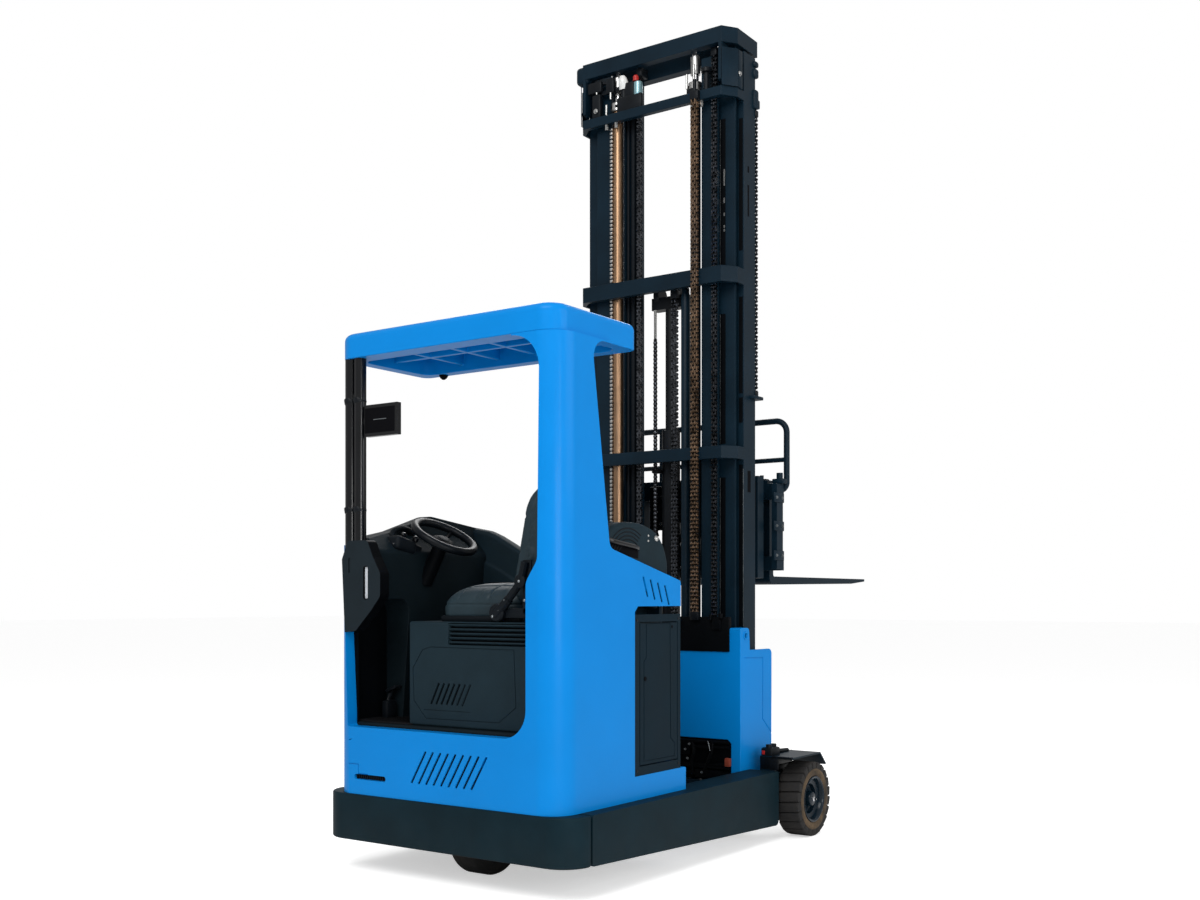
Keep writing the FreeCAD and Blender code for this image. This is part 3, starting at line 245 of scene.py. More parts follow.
# %% One builder for hard finishes
def finish(name, colour, rough, drift=0.06, grain=9.0, bump=0.02, bump_grain=260.0, **more):
    """A paint, metal or plastic with drifting tone, uneven gloss and a fine bump."""
    material, nodes, links = plain_material(name)
    shader = nodes["Principled BSDF"]
    place = nodes.new("ShaderNodeTexCoord")
    cloud = noise(nodes, links, place, grain, 4.0)
    dark = tuple(c * (1 - drift) for c in colour)
    light = tuple(min(1, c * (1 + drift)) for c in colour)
    tone = mixed(nodes, links, span(nodes, links, cloud, 0.0, 1.0, 0.3, 0.7), dark, light)
    if "dust" in more:
        tone = dusted(nodes, links, place, tone, *more["dust"])
    links.new(tone, shader.inputs["Base Color"])
    links.new(span(nodes, links, cloud, rough - 0.05, rough + 0.06), shader.inputs["Roughness"])
    relief = nodes.new("ShaderNodeBump")
    relief.inputs["Strength"].default_value = bump
    relief.inputs["Distance"].default_value = 0.002
    links.new(noise(nodes, links, place, bump_grain, 2.0), relief.inputs["Height"])
    links.new(relief.outputs["Normal"], shader.inputs["Normal"])
    shader.inputs["Metallic"].default_value = more.get("metal", 0.0)
    shader.inputs["Coat Weight"].default_value = more.get("coat", 0.0)
    shader.inputs["Coat Roughness"].default_value = 0.12
    shader.inputs["Specular IOR Level"].default_value = more.get("specular", 0.5)
    return material


FLOOR_DUST = ((0.085, 0.078, 0.065), 0.30, 0.14)

# %% [markdown]
# The truck has about twenty finishes. The blue is a satin gloss lacquer, the mast, legs and frames are
# a blue-black paint, and what the driver touches is grained plastic. The dark paints get a low
# specular level: at full level their sheen would lift them to grey under such large lamps.

# %% The truck's finishes
blue_paint = finish("blue_paint", (0.0006, 0.196, 0.570), 0.36, 0.04, 2.5, 0.015, coat=0.05, specular=0.08)
dark_paint = finish("dark_paint", (0.0026, 0.0115, 0.0205), 0.42, 0.2, 5.0, 0.04, specular=0.12)
base_paint = finish(
    "base_paint", (0.0042, 0.0150, 0.0215), 0.5, 0.16, 6.0, 0.08, specular=0.06, dust=FLOOR_DUST,
)
black_paint = finish("black_paint", (0.0035, 0.0050, 0.0070), 0.4, 0.3, 12.0, 0.05, specular=0.15)
gloss_black = finish("gloss_black", (0.0022, 0.0026, 0.0036), 0.18, 0.2, bump=0.01, coat=0.15, specular=0.25)
cover_paint = finish("cover_paint", (0.0022, 0.0110, 0.0185), 0.62, 0.10, 5.0, 0.22, 900.0, specular=0.1)
cab_plastic = finish("cab_plastic", (0.0082, 0.0190, 0.0262), 0.62, 0.12, 6.0, 0.30, 700.0, specular=0.1)
dash_plastic = finish("dash_plastic", (0.0040, 0.0088, 0.0118), 0.6, 0.12, 6.0, 0.30, 700.0, specular=0.1)
trim_plastic = finish("trim_plastic", (0.0082, 0.0140, 0.0185), 0.55, 0.12, 6.0, 0.25, 700.0, specular=0.1)
deep_plastic = finish("deep_plastic", (0.0028, 0.0050, 0.0075), 0.55, 0.2, 6.0, 0.30, 700.0, specular=0.12)
worn_steel = finish("worn_steel", (0.20, 0.22, 0.23), 0.36, 0.35, 24.0, 0.10, metal=0.85)
chrome = finish("chrome", (0.66, 0.66, 0.67), 0.12, 0.04, bump=0.01, metal=1.0)
zinc = finish("zinc", (0.46, 0.46, 0.45), 0.3, 0.18, 60.0, metal=1.0)
# A black for real black parts, such as locks and glass, and for painted shade: plates and patches in slots,
# pockets and holes stand for the shade inside them.
black_and_painted_shade = finish("black_and_painted_shade", (0.002, 0.002, 0.003), 0.7, specular=0.05)
rim_paint = finish("rim_paint", (0.0030, 0.0105, 0.0180), 0.24, 0.15, bump=0.02, coat=0.12, specular=0.2)
dense_black = finish("dense_black", (0.0014, 0.0020, 0.0028), 0.5, 0.2, 8.0, 0.1, specular=0.05)
mat_rubber = finish("mat_rubber", (0.005, 0.005, 0.006), 0.75, 0.2, 20.0, 0.3, 500.0, specular=0.12)
print("finishes:", len(bpy.data.materials))

# %% [markdown]
# ## Tools for mesh pieces
# A few tools make nearly every added piece. A node's skin is a copy of its mesh with real edge
# radii. A kit gathers boxes, rods, turned shapes and bent tubes into one mesh, as a welded or
# bolted group would be. A carve cuts grooves and slots. A repeat lays one piece out many times.


# %% Objects, shading and applied modifiers
def meshed(work, name):
    """A new mesh from the bmesh, which is freed."""
    mesh = bpy.data.meshes.new(name)
    work.to_mesh(mesh)
    work.free()
    return mesh


def shade(mesh, angle=35.0):
    """Smooth shading that keeps edges sharper than the angle."""
    mesh.shade_smooth()
    mesh.set_sharp_from_angle(angle=math.radians(angle))


def new_object(name, mesh):
    """An object with this mesh, linked to the scene."""
    made = bpy.data.objects.new(name, mesh)
    bpy.context.scene.collection.objects.link(made)
    return made


def applied(made):
    """The object, with its modifiers applied to its mesh and removed."""
    bpy.context.view_layer.update()
    evaluated = made.evaluated_get(bpy.context.evaluated_depsgraph_get())
    mesh = bpy.data.meshes.new_from_object(evaluated)
    made.modifiers.clear()
    made.data = mesh
    return made


# %% Rounded edges and even faces
def bevel(made, width, segments=3, limit=32.0):
    """Rounds the object's sharp edges."""
    rounding = made.modifiers.new("edge_radius", "BEVEL")
    rounding.width = width
    rounding.segments = segments
    rounding.limit_method = "ANGLE"
    rounding.angle_limit = math.radians(limit)
    rounding.harden_normals = False
    return applied(made)


def even_faces(made):
    """Flat faces shade flat and only the rounded edges turn, as on pressed sheet."""
    weights = made.modifiers.new("even_faces", "WEIGHTED_NORMAL")
    weights.keep_sharp = True
    weights.weight = 80
    return applied(made)


def place_on(made, body):
    """The object, riding on a body."""
    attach(made, body)
    return made


# %% A kit of small shapes that becomes one mesh
class Kit:
    """Gathers boxes, rods, turned shapes, tubes, strips and lofts into one mesh."""

    def __init__(self):
        self.work = bmesh.new()

    def box(self, low, high, radius=0.0, turn=None, segments=2):
        """A box between two corners, its edges rounded, turned about its centre."""
        low, high = Vector(low), Vector(high)
        made = bmesh.ops.create_cube(self.work, size=1.0)["verts"]
        scale = Matrix.Diagonal((*(high - low), 1))
        place = Matrix.Translation((low + high) / 2) @ (turn or Matrix()) @ scale
        bmesh.ops.transform(self.work, matrix=place, verts=made)
        if radius:
            edges = list(dict.fromkeys(edge for vert in made for edge in vert.link_edges))
            bmesh.ops.bevel(
                self.work, geom=edges, offset=radius, segments=segments, affect="EDGES", profile=0.5
            )
        return self

    def side_box(self, side, low, high, radius=0.0, turn=None, segments=2):
        """A box given for the left side: there at side 1, and mirrored to the right at side -1."""
        y0, y1 = sorted((side * low[1], side * high[1]))
        return self.box((low[0], y0, low[2]), (high[0], y1, high[2]), radius, turn, segments)

    def rod(self, start, end, radius, tip=None, sides=20):
        """A round rod or cone from start to end."""
        start, end = Vector(start), Vector(end)
        turn = (end - start).to_track_quat("Z", "Y").to_matrix().to_4x4()
        bmesh.ops.create_cone(
            self.work,
            cap_ends=True,
            segments=sides,
            radius1=radius,
            radius2=radius if tip is None else tip,
            depth=(end - start).length,
            matrix=Matrix.Translation((start + end) / 2) @ turn,
        )
        return self

    def turned(self, start, axis, profile, steps=32, closed=False):
        """A lathe shape from (distance along the axis, radius) pairs."""
        turn = Vector(axis).to_track_quat("Z", "Y").to_matrix().to_4x4()
        place = Matrix.Translation(Vector(start)) @ turn
        rings = []
        for along, radius in profile:
            count = steps if radius > 1e-6 else 1
            ring = []
            for index in range(count):
                angle = 2 * math.pi * index / steps
                point = Vector((radius * math.cos(angle), radius * math.sin(angle), along))
                ring.append(self.work.verts.new(place @ point))
            rings.append(ring)
        pairs = list(zip(rings, rings[1:]))
        if closed:
            pairs.append((rings[-1], rings[0]))
        for first, second in pairs:
            for index in range(steps):
                after = (index + 1) % steps
                corners = [
                    first[index % len(first)],
                    first[after % len(first)],
                    second[after % len(second)],
                    second[index % len(second)],
                ]
                self.work.faces.new(list(dict.fromkeys(corners)))
        return self

    def ring(self, centre, axis, major, minor, steps=64, sides=14):
        """A round ring, such as a hand wheel's rim."""
        profile = []
        for index in range(sides):
            angle = 2 * math.pi * index / sides
            profile.append((minor * math.sin(angle), major + minor * math.cos(angle)))
        return self.turned(centre, axis, profile, steps, closed=True)

    def tube(self, points, radius, sides=3):
        """A round tube along a smooth line that is drawn toward the points."""
        line = bpy.data.curves.new("line", "CURVE")
        line.dimensions = "3D"
        line.bevel_depth = radius
        line.bevel_resolution = sides
        line.use_fill_caps = True
        spline = line.splines.new("NURBS")
        spline.points.add(len(points) - 1)
        for control, point in zip(spline.points, points):
            control.co = (*point, 1)
        spline.order_u = 3
        spline.use_endpoint_u = True
        spline.resolution_u = 5
        carrier = bpy.data.objects.new("line", line)
        mesh = bpy.data.meshes.new_from_object(carrier)
        self.work.from_mesh(mesh)
        bpy.data.objects.remove(carrier)
        bpy.data.curves.remove(line)
        return self

    def loft(self, rows, closed=False):
        """A shape through rows of points, closed by its end rows or by joining the last to the first."""
        rows = [[self.work.verts.new(point) for point in row] for row in rows]
        pairs = list(zip(rows, rows[1:])) + ([(rows[-1], rows[0])] if closed else [])
        for first, second in pairs:
            for index in range(len(first)):
                after = (index + 1) % len(first)
                self.work.faces.new([first[index], first[after], second[after], second[index]])
        if not closed:
            self.work.faces.new(rows[0])
            self.work.faces.new(rows[-1])
        return self

    def band(self, points, normal, width, low, high, closed=False):
        """A strip along a flat line of points, from low to high along the plane's normal."""
        normal = Vector(normal).normalized()
        points = [Vector(point) for point in points]
        count = len(points)
        rows = []
        for index, point in enumerate(points):
            before = points[index - 1] if index or closed else None
            after = points[(index + 1) % count] if index < count - 1 or closed else None
            ways = [(point - before).normalized()] if before is not None else []
            ways += [(after - point).normalized()] if after is not None else []
            ahead = sum(ways, Vector()).normalized()
            side = normal.cross(ahead)
            stretch = 1 / max(0.35, abs(normal.cross(ways[0]).dot(side)))
            offset = side * width / 2 * stretch
            corners = (point - offset, point + offset)
            below = [corner + normal * low for corner in corners]
            above = [corner + normal * high for corner in reversed(corners)]
            rows.append(below + above)
        return self.loft(rows, closed)

    def hex(self, place, axis, radius, height):
        """A hexagon head on a washer."""
        start, axis = Vector(place), Vector(axis).normalized()
        self.rod(start, start + axis * height * 0.25, radius * 1.35, sides=16)
        return self.rod(start + axis * height * 0.25, start + axis * height, radius, radius * 0.94, sides=6)

    def mesh(self, name):
        bmesh.ops.recalc_face_normals(self.work, faces=self.work.faces)
        return meshed(self.work, name)

    def made(self, name, body, slot, material, edge=0.0, angle=35.0):
        """The finished piece, riding on a body."""
        made = new_object(name, self.mesh(name))
        if edge:
            bevel(made, edge, 2)
        made.data.materials.clear()
        made.data.materials.append(material)
        shade(made.data, angle)
        return place_on(made, body)


# %% Cutting grooves, slots and recesses
def carve(made, kit):
    cutter = new_object("cutter", kit.mesh("cutter"))
    hollow = made.modifiers.new("carve", "BOOLEAN")
    hollow.operation = "DIFFERENCE"
    hollow.solver = "EXACT"
    hollow.object = cutter
    applied(made)
    bpy.data.objects.remove(cutter)
    return made


# %% [markdown]
# Chains, tread blocks, nuts and slats repeat one small piece. A Geometry Nodes tree is the right
# tool: it takes the piece, how many, the step from one to the next and the turn about an axis,
# and its named inputs serve straight rows and rings alike. The result is made a plain mesh.


# %% A tree that repeats a piece in a row or a ring
def repeat_tree():
    """The node tree: points along a step, a turned copy on each, made real and painted."""
    tree = bpy.data.node_groups.new("repeat_piece", "GeometryNodeTree")
    sockets = tree.interface
    sockets.new_socket(name="Geometry", in_out="OUTPUT", socket_type="NodeSocketGeometry")
    sockets.new_socket(name="Piece", in_out="INPUT", socket_type="NodeSocketObject")
    sockets.new_socket(name="Count", in_out="INPUT", socket_type="NodeSocketInt")
    sockets.new_socket(name="Step", in_out="INPUT", socket_type="NodeSocketVector")
    sockets.new_socket(name="Axis", in_out="INPUT", socket_type="NodeSocketVector")
    sockets.new_socket(name="Turn", in_out="INPUT", socket_type="NodeSocketFloat")
    sockets.new_socket(name="Finish", in_out="INPUT", socket_type="NodeSocketMaterial")
    nodes, links = tree.nodes, tree.links
    given = nodes.new("NodeGroupInput").outputs
    index = nodes.new("GeometryNodeInputIndex").outputs[0]
    place = nodes.new("ShaderNodeVectorMath")
    place.operation = "SCALE"
    links.new(given["Step"], place.inputs[0])
    links.new(index, place.inputs["Scale"])
    points = nodes.new("GeometryNodePoints")
    links.new(given["Count"], points.inputs["Count"])
    links.new(place.outputs[0], points.inputs["Position"])
    angle = nodes.new("ShaderNodeMath")
    angle.operation = "MULTIPLY"
    links.new(given["Turn"], angle.inputs[0])
    links.new(index, angle.inputs[1])
    turn = nodes.new("FunctionNodeAxisAngleToRotation")
    links.new(given["Axis"], turn.inputs["Axis"])
    links.new(angle.outputs[0], turn.inputs["Angle"])
    piece = nodes.new("GeometryNodeObjectInfo")
    links.new(given["Piece"], piece.inputs["Object"])
    copies = nodes.new("GeometryNodeInstanceOnPoints")
    links.new(points.outputs[0], copies.inputs["Points"])
    links.new(piece.outputs["Geometry"], copies.inputs["Instance"])
    links.new(turn.outputs[0], copies.inputs["Rotation"])
    real = nodes.new("GeometryNodeRealizeInstances")
    links.new(copies.outputs[0], real.inputs[0])
    painted = nodes.new("GeometryNodeSetMaterial")
    links.new(real.outputs[0], painted.inputs["Geometry"])
    links.new(given["Finish"], painted.inputs["Material"])
    result = nodes.new("NodeGroupOutput")
    links.new(painted.outputs[0], result.inputs[0])
    return tree


REPEAT = repeat_tree()
print("repeat inputs:", [item.name for item in REPEAT.interface.items_tree if item.in_out == "INPUT"])


# %% Laying a piece out many times
def laid_out(kit, count, step=(0, 0, 0), axis=(0, 0, 1), turn=0.0, start=(0, 0, 0), material=None):
    piece = new_object("piece", kit.mesh("piece"))
    carrier = new_object("carrier", bpy.data.meshes.new("carrier"))
    rows = carrier.modifiers.new("repeat", "NODES")
    rows.node_group = REPEAT
    values = {"Piece": piece, "Count": count, "Step": step, "Axis": axis, "Turn": turn, "Finish": material}
    for item in REPEAT.interface.items_tree:
        if item.in_out == "INPUT":
            rows[item.identifier] = values[item.name]
    applied(carrier)
    mesh = carrier.data
    mesh.transform(Matrix.Translation(Vector(start)))
    bpy.data.objects.remove(carrier)
    bpy.data.objects.remove(piece)
    return mesh


def repeated(name, body, slot, material, kit, count, **how):
    """A piece made of many copies, riding on a body."""
    made = new_object(name, laid_out(kit, count, material=material, **how))
    shade(made.data)
    return place_on(made, body)


# %% [markdown]
# ## Panels with real edges
# A sheet panel or a weld has no razor edges: light catches the small radius along each one.
# The node's mesh is copied, its loose triangles are merged and its flat faces dissolved, and a
# bevel of a few millimetres rounds what is sharper than a third of a right angle.


# %% Copy a node with rounded edges
def merged_copy(*nodes):
    """The nodes' meshes with their loose triangles merged into flat faces."""
    work = bmesh.new()
    for node in nodes:
        work.from_mesh(frame["nodes"][node].data)
    bmesh.ops.remove_doubles(work, verts=work.verts, dist=0.00002)
    bmesh.ops.dissolve_limit(work, angle_limit=math.radians(1.0), verts=work.verts, edges=work.edges)
    return meshed(work, nodes[0])


def dressed(node, material, width=0.003, segments=3, cuts=None):
    """A CAD node's shape with rounded edges, grooves and a finish, shown in the node's place."""
    made = new_object(node + "_skin", merged_copy(node))
    bevel(made, width, segments)
    if cuts:
        carve(made, cuts)
    made.data.materials.clear()
    made.data.materials.append(material)
    shade(made.data)
    even_faces(made)
    place_on(made, BODY_OF[node])
    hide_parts(node)
    return made


def box_of(*nodes):
    """The corners of the box round these CAD nodes."""
    points = [v.co for node in nodes for v in frame["nodes"][node].data.vertices]
    low = Vector([min(p[axis] for p in points) for axis in range(3)])
    return low, Vector([max(p[axis] for p in points) for axis in range(3)])


# %% [markdown]
# ## The bodywork
# The blue panels get the widest edges, as pressed and cast covers do. Fine grooves show where
# one panel ends and the next begins, and the recess low on the rear holds a dark grille.

# %% Panels, beams and frames
rear_x = box_of("rear_panel")[0].x
groove_line = [(0.478, 0.545), (0.497, 0.538), (0.497, 0.443), (0.440, 0.443), (0.440, 0.405), (0.384, 0.405)]
rear_grooves = Kit()
rear_grooves.band([(rear_x, y, z) for y, z in groove_line], (1, 0, 0), 0.0035, -0.004, 0.004)
dressed("rear_panel", blue_paint, 0.009, 4, rear_grooves)
EDGES = [
    (blue_paint, 0.009, 4, ["right_side", "left_side"]),
    (blue_paint, 0.004, 3, ["roof"]),
    (base_paint, 0.010, 4, ["rear_bumper"]),
    (base_paint, 0.005, 3, ["left_leg", "right_leg", "base_frame"]),
    (dark_paint, 0.0025, 2, ["mast_outer", "mast_middle", "mast_inner", "lift_carriage", "fork_frame"]),
    (dark_paint, 0.0015, 2, ["load_rest", "left_mudguard", "right_mudguard", "reach_frame"]),
    (dark_paint, 0.002, 2, ["left_fork", "right_fork"]),
    (cover_paint, 0.002, 3, ["right_cover", "left_cover", "front_bulkhead"]),
    (cab_plastic, 0.016, 4, ["side_cowl"]),
    (dash_plastic, 0.010, 3, ["dashboard", "cab_floor", "pedals"]),
    (gloss_black, 0.003, 3, ["rear_display"]),
    (black_paint, 0.002, 2, ["drive_fork", "drive_motor", "battery", "tilt_barrels", "free_lift_head"]),
    (black_paint, 0.001, 2, ["free_lift_barrel", "reach_barrels"]),
    (dense_black, 0.001, 2, ["steering_column"]),
    (chrome, 0.0008, 2, ["lift_rods", "reach_rods", "tilt_rods"]),
]
for material, width, segments, nodes in EDGES:
    for node in nodes:
        dressed(node, material, width, segments)
print("dressed nodes:", 1 + sum(len(row[3]) for row in EDGES))

# %% The left post with its trim panel, and painted shade over the cab's left wall
post_x = box_of("left_post")[0].x
trim_slot = Kit().box((post_x - 0.01, 0.494, 1.228), (post_x + 0.006, 0.503, 1.290), 0.003)
post = dressed("left_post", gloss_black, 0.005, 3, trim_slot)
post.data.materials.append(trim_plastic)
post.data.materials.append(dense_black)
for polygon in post.data.polygons:
    if polygon.center.z < 1.366:
        polygon.material_index = 1 if polygon.normal.x < -0.3 else 2
# A black sheet over the cab's left wall is painted shade: the wall's lower part lies in shade.
lining_shade = Kit()
lining_shade.box((-1.536, 0.5440, 0.612), (-0.790, 0.5462, 1.338))
lining_shade.box((-1.5365, 0.498, 0.612), (-1.5345, 0.5462, 0.985))
lining_shade.made("cab_lining", "chassis", "cab_plastic", dense_black)
glow = Kit().box((-1.580, 0.3935, 1.122), (-1.5765, 0.4165, 1.252), 0.001)
glow.made("trim_light", "chassis", "gloss_black", finish("light_strip", (0.55, 0.58, 0.62), 0.35))
print("left post: trim panel, cab lining and light strip")

# %% A dark grille in the low recess, with painted shade behind its slats and in the slots
# Black plates behind the slots and behind the grille's slats are painted shade: they stand for the shade in
# the openings.
slot_backs = Kit()
slot_backs.box((rear_x + 0.006, -0.215, 0.381), (rear_x + 0.0075, 0.225, 0.527))
side_x = [(-1.002, 1.171), (-0.786, 1.127)]
for side in (-1, 1):
    slot_backs.band([(x, side * 0.5830, z) for x, z in side_x], (0, 1, 0), 0.092, -0.0008, 0.0008)
slot_backs.made("slot_backs", "chassis", "black_machine", black_and_painted_shade)
grille = Kit()
grille.box((rear_x + 0.0115, 0.289, 0.3835), (rear_x + 0.015, 0.459, 0.4005))
grille.made("grille_back", "chassis", "black_machine", black_and_painted_shade)
slat = Kit().box((rear_x + 0.006, -0.002, 0.384), (rear_x + 0.012, 0.002, 0.4))
repeated(
    "grille_slats", "chassis", "black_machine", deep_plastic, slat, 14,
    step=(0, 0.012, 0), start=(0, 0.296, 0),
)
print("grille: 14 slats")


# %% The reach carriage's cover, joined into one pressed sheet
def united(nodes):
    """One closed mesh from solids that meet face to face."""
    made = new_object(nodes[0] + "_skin", merged_copy(nodes[0]))
    for node in nodes[1:]:
        other = new_object("other", merged_copy(node))
        join = made.modifiers.new("join", "BOOLEAN")
        join.operation = "UNION"
        join.solver = "EXACT"
        join.object = other
        applied(made)
        bpy.data.objects.remove(other)
    work = bmesh.new()
    work.from_mesh(made.data)
    bmesh.ops.remove_doubles(work, verts=work.verts, dist=0.00005)
    bmesh.ops.dissolve_limit(work, angle_limit=math.radians(1.0), verts=work.verts, edges=work.edges)
    work.to_mesh(made.data)
    work.free()
    return made


cover = united(["carriage_cover", "left_cheek", "right_cheek"])
bevel(cover, 0.007, 4)
cheek_line = [(-0.034, 0.845), (0.158, 0.838), (0.155, 0.546), (0.254, 0.466)]
cover_grooves = Kit()
for side in (-1, 1):
    points = [(x, side * 0.497, z) for x, z in cheek_line]
    cover_grooves.band(points, (0, 1, 0), 0.005, -0.003, 0.003)
carve(cover, cover_grooves)
cover.data.materials.clear()
cover.data.materials.append(blue_paint)
shade(cover.data)
even_faces(cover)
place_on(cover, "reach_carriage")
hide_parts("carriage_cover", "left_cheek", "right_cheek")
print("cover faces:", len(cover.data.polygons))

# %% [markdown]
# Round each lifting eye a low ring is pressed into the sheet. The doors are charcoal sheets
# with a stepped groove, a round lock on the groove and a screw near each corner of their frame.

# %% Lifting eyes
eyes = Kit()
for side in (-1, 1):
    rim = [(0.0, 0.0125), (0.0035, 0.0135), (0.0042, 0.0165), (0.0035, 0.0195), (0.0, 0.0205)]
    eyes.turned((-0.015, side * 0.4965, 0.948), (0, side, 0), rim, 40)
eyes.made("eye_rings", "reach_carriage", "blue_paint", blue_paint)
print("lifting eyes: two rings")

# %% Battery doors
door_line = [
    (-1.007, 1.020),
    (-0.827, 1.020),
    (-0.823, 0.547),
    (-0.790, 0.522),
    (-0.792, 0.470),
    (-1.024, 0.470),
    (-1.024, 0.868),
    (-1.007, 0.885),
]
for side, node in ((-1, "right_door"), (1, "left_door")):
    low, high = box_of(node)
    face = low.y if side < 0 else high.y
    cuts = Kit().band([(x, face, z) for x, z in door_line], (0, 1, 0), 0.004, -0.003, 0.003, closed=True)
    dressed(node, cover_paint, 0.0015, 2, cuts)
    lock = Kit()
    for x, z, radius, tall, steps in ((-1.016, 0.800, 0.009, 0.003, 24), (-0.812, 1.006, 0.006, 0.002, 20)):
        barrel = [(0, radius), (tall, radius), (tall, 0.0)]
        lock.turned((x, face - side * 0.001, z), (0, side, 0), barrel, steps)
    lock.made(node + "_lock", BODY_OF[node], "black_machine", black_and_painted_shade)
    screws = Kit()
    head = [(0, 0.006), (0.002, 0.006), (0.003, 0.003), (0.003, 0)]
    for x, z in ((-1.075, 1.035), (-0.762, 1.040), (-1.075, 0.436), (-0.762, 0.436)):
        screws.turned((x, face - side * 0.001, z), (0, side, 0), head, 16)
    screws.made(node + "_screws", "chassis", "black_machine", black_paint)
print("doors: two, each with a lock and four frame screws")

# %% Reflectors' brackets and the mudguards' bolts
brackets = Kit()
reflectors = Kit()
for side in (-1, 1):
    brackets.side_box(side, (0.030, 0.552, 0.380), (0.118, 0.612, 0.424), 0.009)
    brackets.rod((0.052, side * 0.585, 0.420), (0.052, side * 0.585, 0.438), 0.015)
    brackets.rod((0.096, side * 0.585, 0.420), (0.096, side * 0.585, 0.438), 0.015)
    brackets.rod((0.112, side * 0.575, 0.400), (0.260, side * 0.575, 0.392), 0.010)
    brackets.side_box(side, (0.027, 0.552, 0.322), (0.035, 0.645, 0.384), 0.002)
    brackets.side_box(side, (0.027, 0.552, 0.322), (0.345, 0.562, 0.384), 0.002)
    brackets.side_box(side, (0.180, 0.552, 0.262), (0.345, 0.562, 0.330), 0.002)
    brackets.rod((0.030, side * 0.612, 0.3825), (0.030, side * 0.718, 0.3825), 0.006)
    reflectors.side_box(side, (0.0275, 0.560, 0.392), (0.0305, 0.575, 0.410), 0.001)
brackets.made("mudguard_brackets", "chassis", "dark_paint", black_paint)
red_lens = finish("red_lens", (0.35, 0.012, 0.010), 0.3, coat=0.3)
reflectors.made("mudguard_reflectors", "chassis", "black_machine", red_lens)
print("mudguard brackets: two")

# %% [markdown]
# ## Wheels
# The load wheels run in open air beside the legs, so their tyres show most. Each is a lathe
# shape with a rounded shoulder, and the tread blocks between its grooves are one block repeated
# round the axle. Dust browns the rubber where it is worn, and the dished rim stays glossy.


# %% Rubber with dust in its pores
def dusty_rubber(name, black, dust, share):
    """Matt rubber, browned in broad uneven patches."""
    material, nodes, links = plain_material(name)
    shader = nodes["Principled BSDF"]
    place = nodes.new("ShaderNodeTexCoord")
    broad = span(nodes, links, noise(nodes, links, place, 11.0, 5.0), 0.0, share, 0.32, 0.68)
    fine = span(nodes, links, noise(nodes, links, place, 160.0, 3.0), 0.6, 1.0, 0.35, 0.65)
    tone = mixed(nodes, links, multiplied(nodes, links, broad, fine), black, dust)
    links.new(tone, shader.inputs["Base Color"])
    shader.inputs["Roughness"].default_value = 0.78
    shader.inputs["Specular IOR Level"].default_value = 0.25
    relief = nodes.new("ShaderNodeBump")
    relief.inputs["Strength"].default_value = 0.35
    relief.inputs["Distance"].default_value = 0.0015
    links.new(noise(nodes, links, place, 240.0, 4.0), relief.inputs["Height"])
    links.new(relief.outputs["Normal"], shader.inputs["Normal"])
    return material


tread_rubber = dusty_rubber("tread_rubber", (0.0125, 0.0128, 0.0135), (0.034, 0.029, 0.025), 0.6)
wall_rubber = dusty_rubber("wall_rubber", (0.018, 0.015, 0.012), (0.150, 0.098, 0.052), 1.0)
dark_rubber = dusty_rubber("dark_rubber", (0.007, 0.007, 0.007), (0.030, 0.027, 0.024), 0.6)
print("rubber: tread, dusty wall and dark")


# %% A tyre with lateral tread blocks
def tyre(node, carcass_name, blocks, depth, slope):
    """A carcass and its repeated tread blocks in place of a tyre node."""
    low, high = box_of(node)
    centre = (low + high) / 2
    half = (high.y - low.y) / 2
    radius = (high.z - low.z) / 2
    bead = radius * 0.63
    body, slot = BODY_OF[node], SLOT_OF[node]
    floor_r = radius - depth
    profile = [
        (-half + 0.006, bead),
        (-half + 0.001, bead + 0.006),
        (-half, bead + 0.018),
        (-half + 0.002, floor_r - 0.022),
        (-half + 0.012, floor_r - 0.004),
        (-half + 0.022, floor_r),
        (half - 0.022, floor_r),
        (half - 0.012, floor_r - 0.004),
        (half - 0.002, floor_r - 0.022),
        (half, bead + 0.018),
        (half - 0.001, bead + 0.006),
        (half - 0.006, bead),
    ]
    carcass = Kit().turned(centre, (0, 1, 0), profile, 72, closed=True)
    made = carcass.made(carcass_name, body, slot, wall_rubber if blocks else dark_rubber, angle=50)
    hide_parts(node)
    if not blocks:
        return
    made.data.materials.append(dark_rubber)
    for polygon in made.data.polygons:
        away = polygon.center - centre
        if abs(away.y) < half - 0.006 and math.hypot(away.x, away.z) > floor_r - 0.016:
            polygon.material_index = 1
    width = 2 * math.pi * radius / blocks * 0.87
    rows = Kit()
    rim_y = half - 0.003
    block = Kit().box((-width / 2, -rim_y, radius - depth - 0.006), (width / 2, rim_y, radius), 0.0045)
    for side in (-1, 1):
        foot, top = (-width / 2, rim_y, radius - 0.034), (width / 2, rim_y - 0.016, radius - 0.007)
        block.side_box(side, foot, top, 0.004)
    block.work.transform(Matrix.Rotation(slope, 4, "Z"))
    rows.work.from_mesh(block.mesh("block"))
    repeated(
        carcass_name + "_tread", body, slot, tread_rubber, rows, blocks,
        axis=(0, 1, 0), turn=2 * math.pi / blocks, start=centre,
    )


tyre("right_tyre", "right_tyre_carcass", 22, 0.009, 0.09)
tyre("left_tyre", "left_tyre_carcass", 22, 0.009, -0.09)
tyre("drive_tyre", "drive_tyre_carcass", 0, 0.0, 0.0)
print("tyres: two with 22 lugs, one smooth")


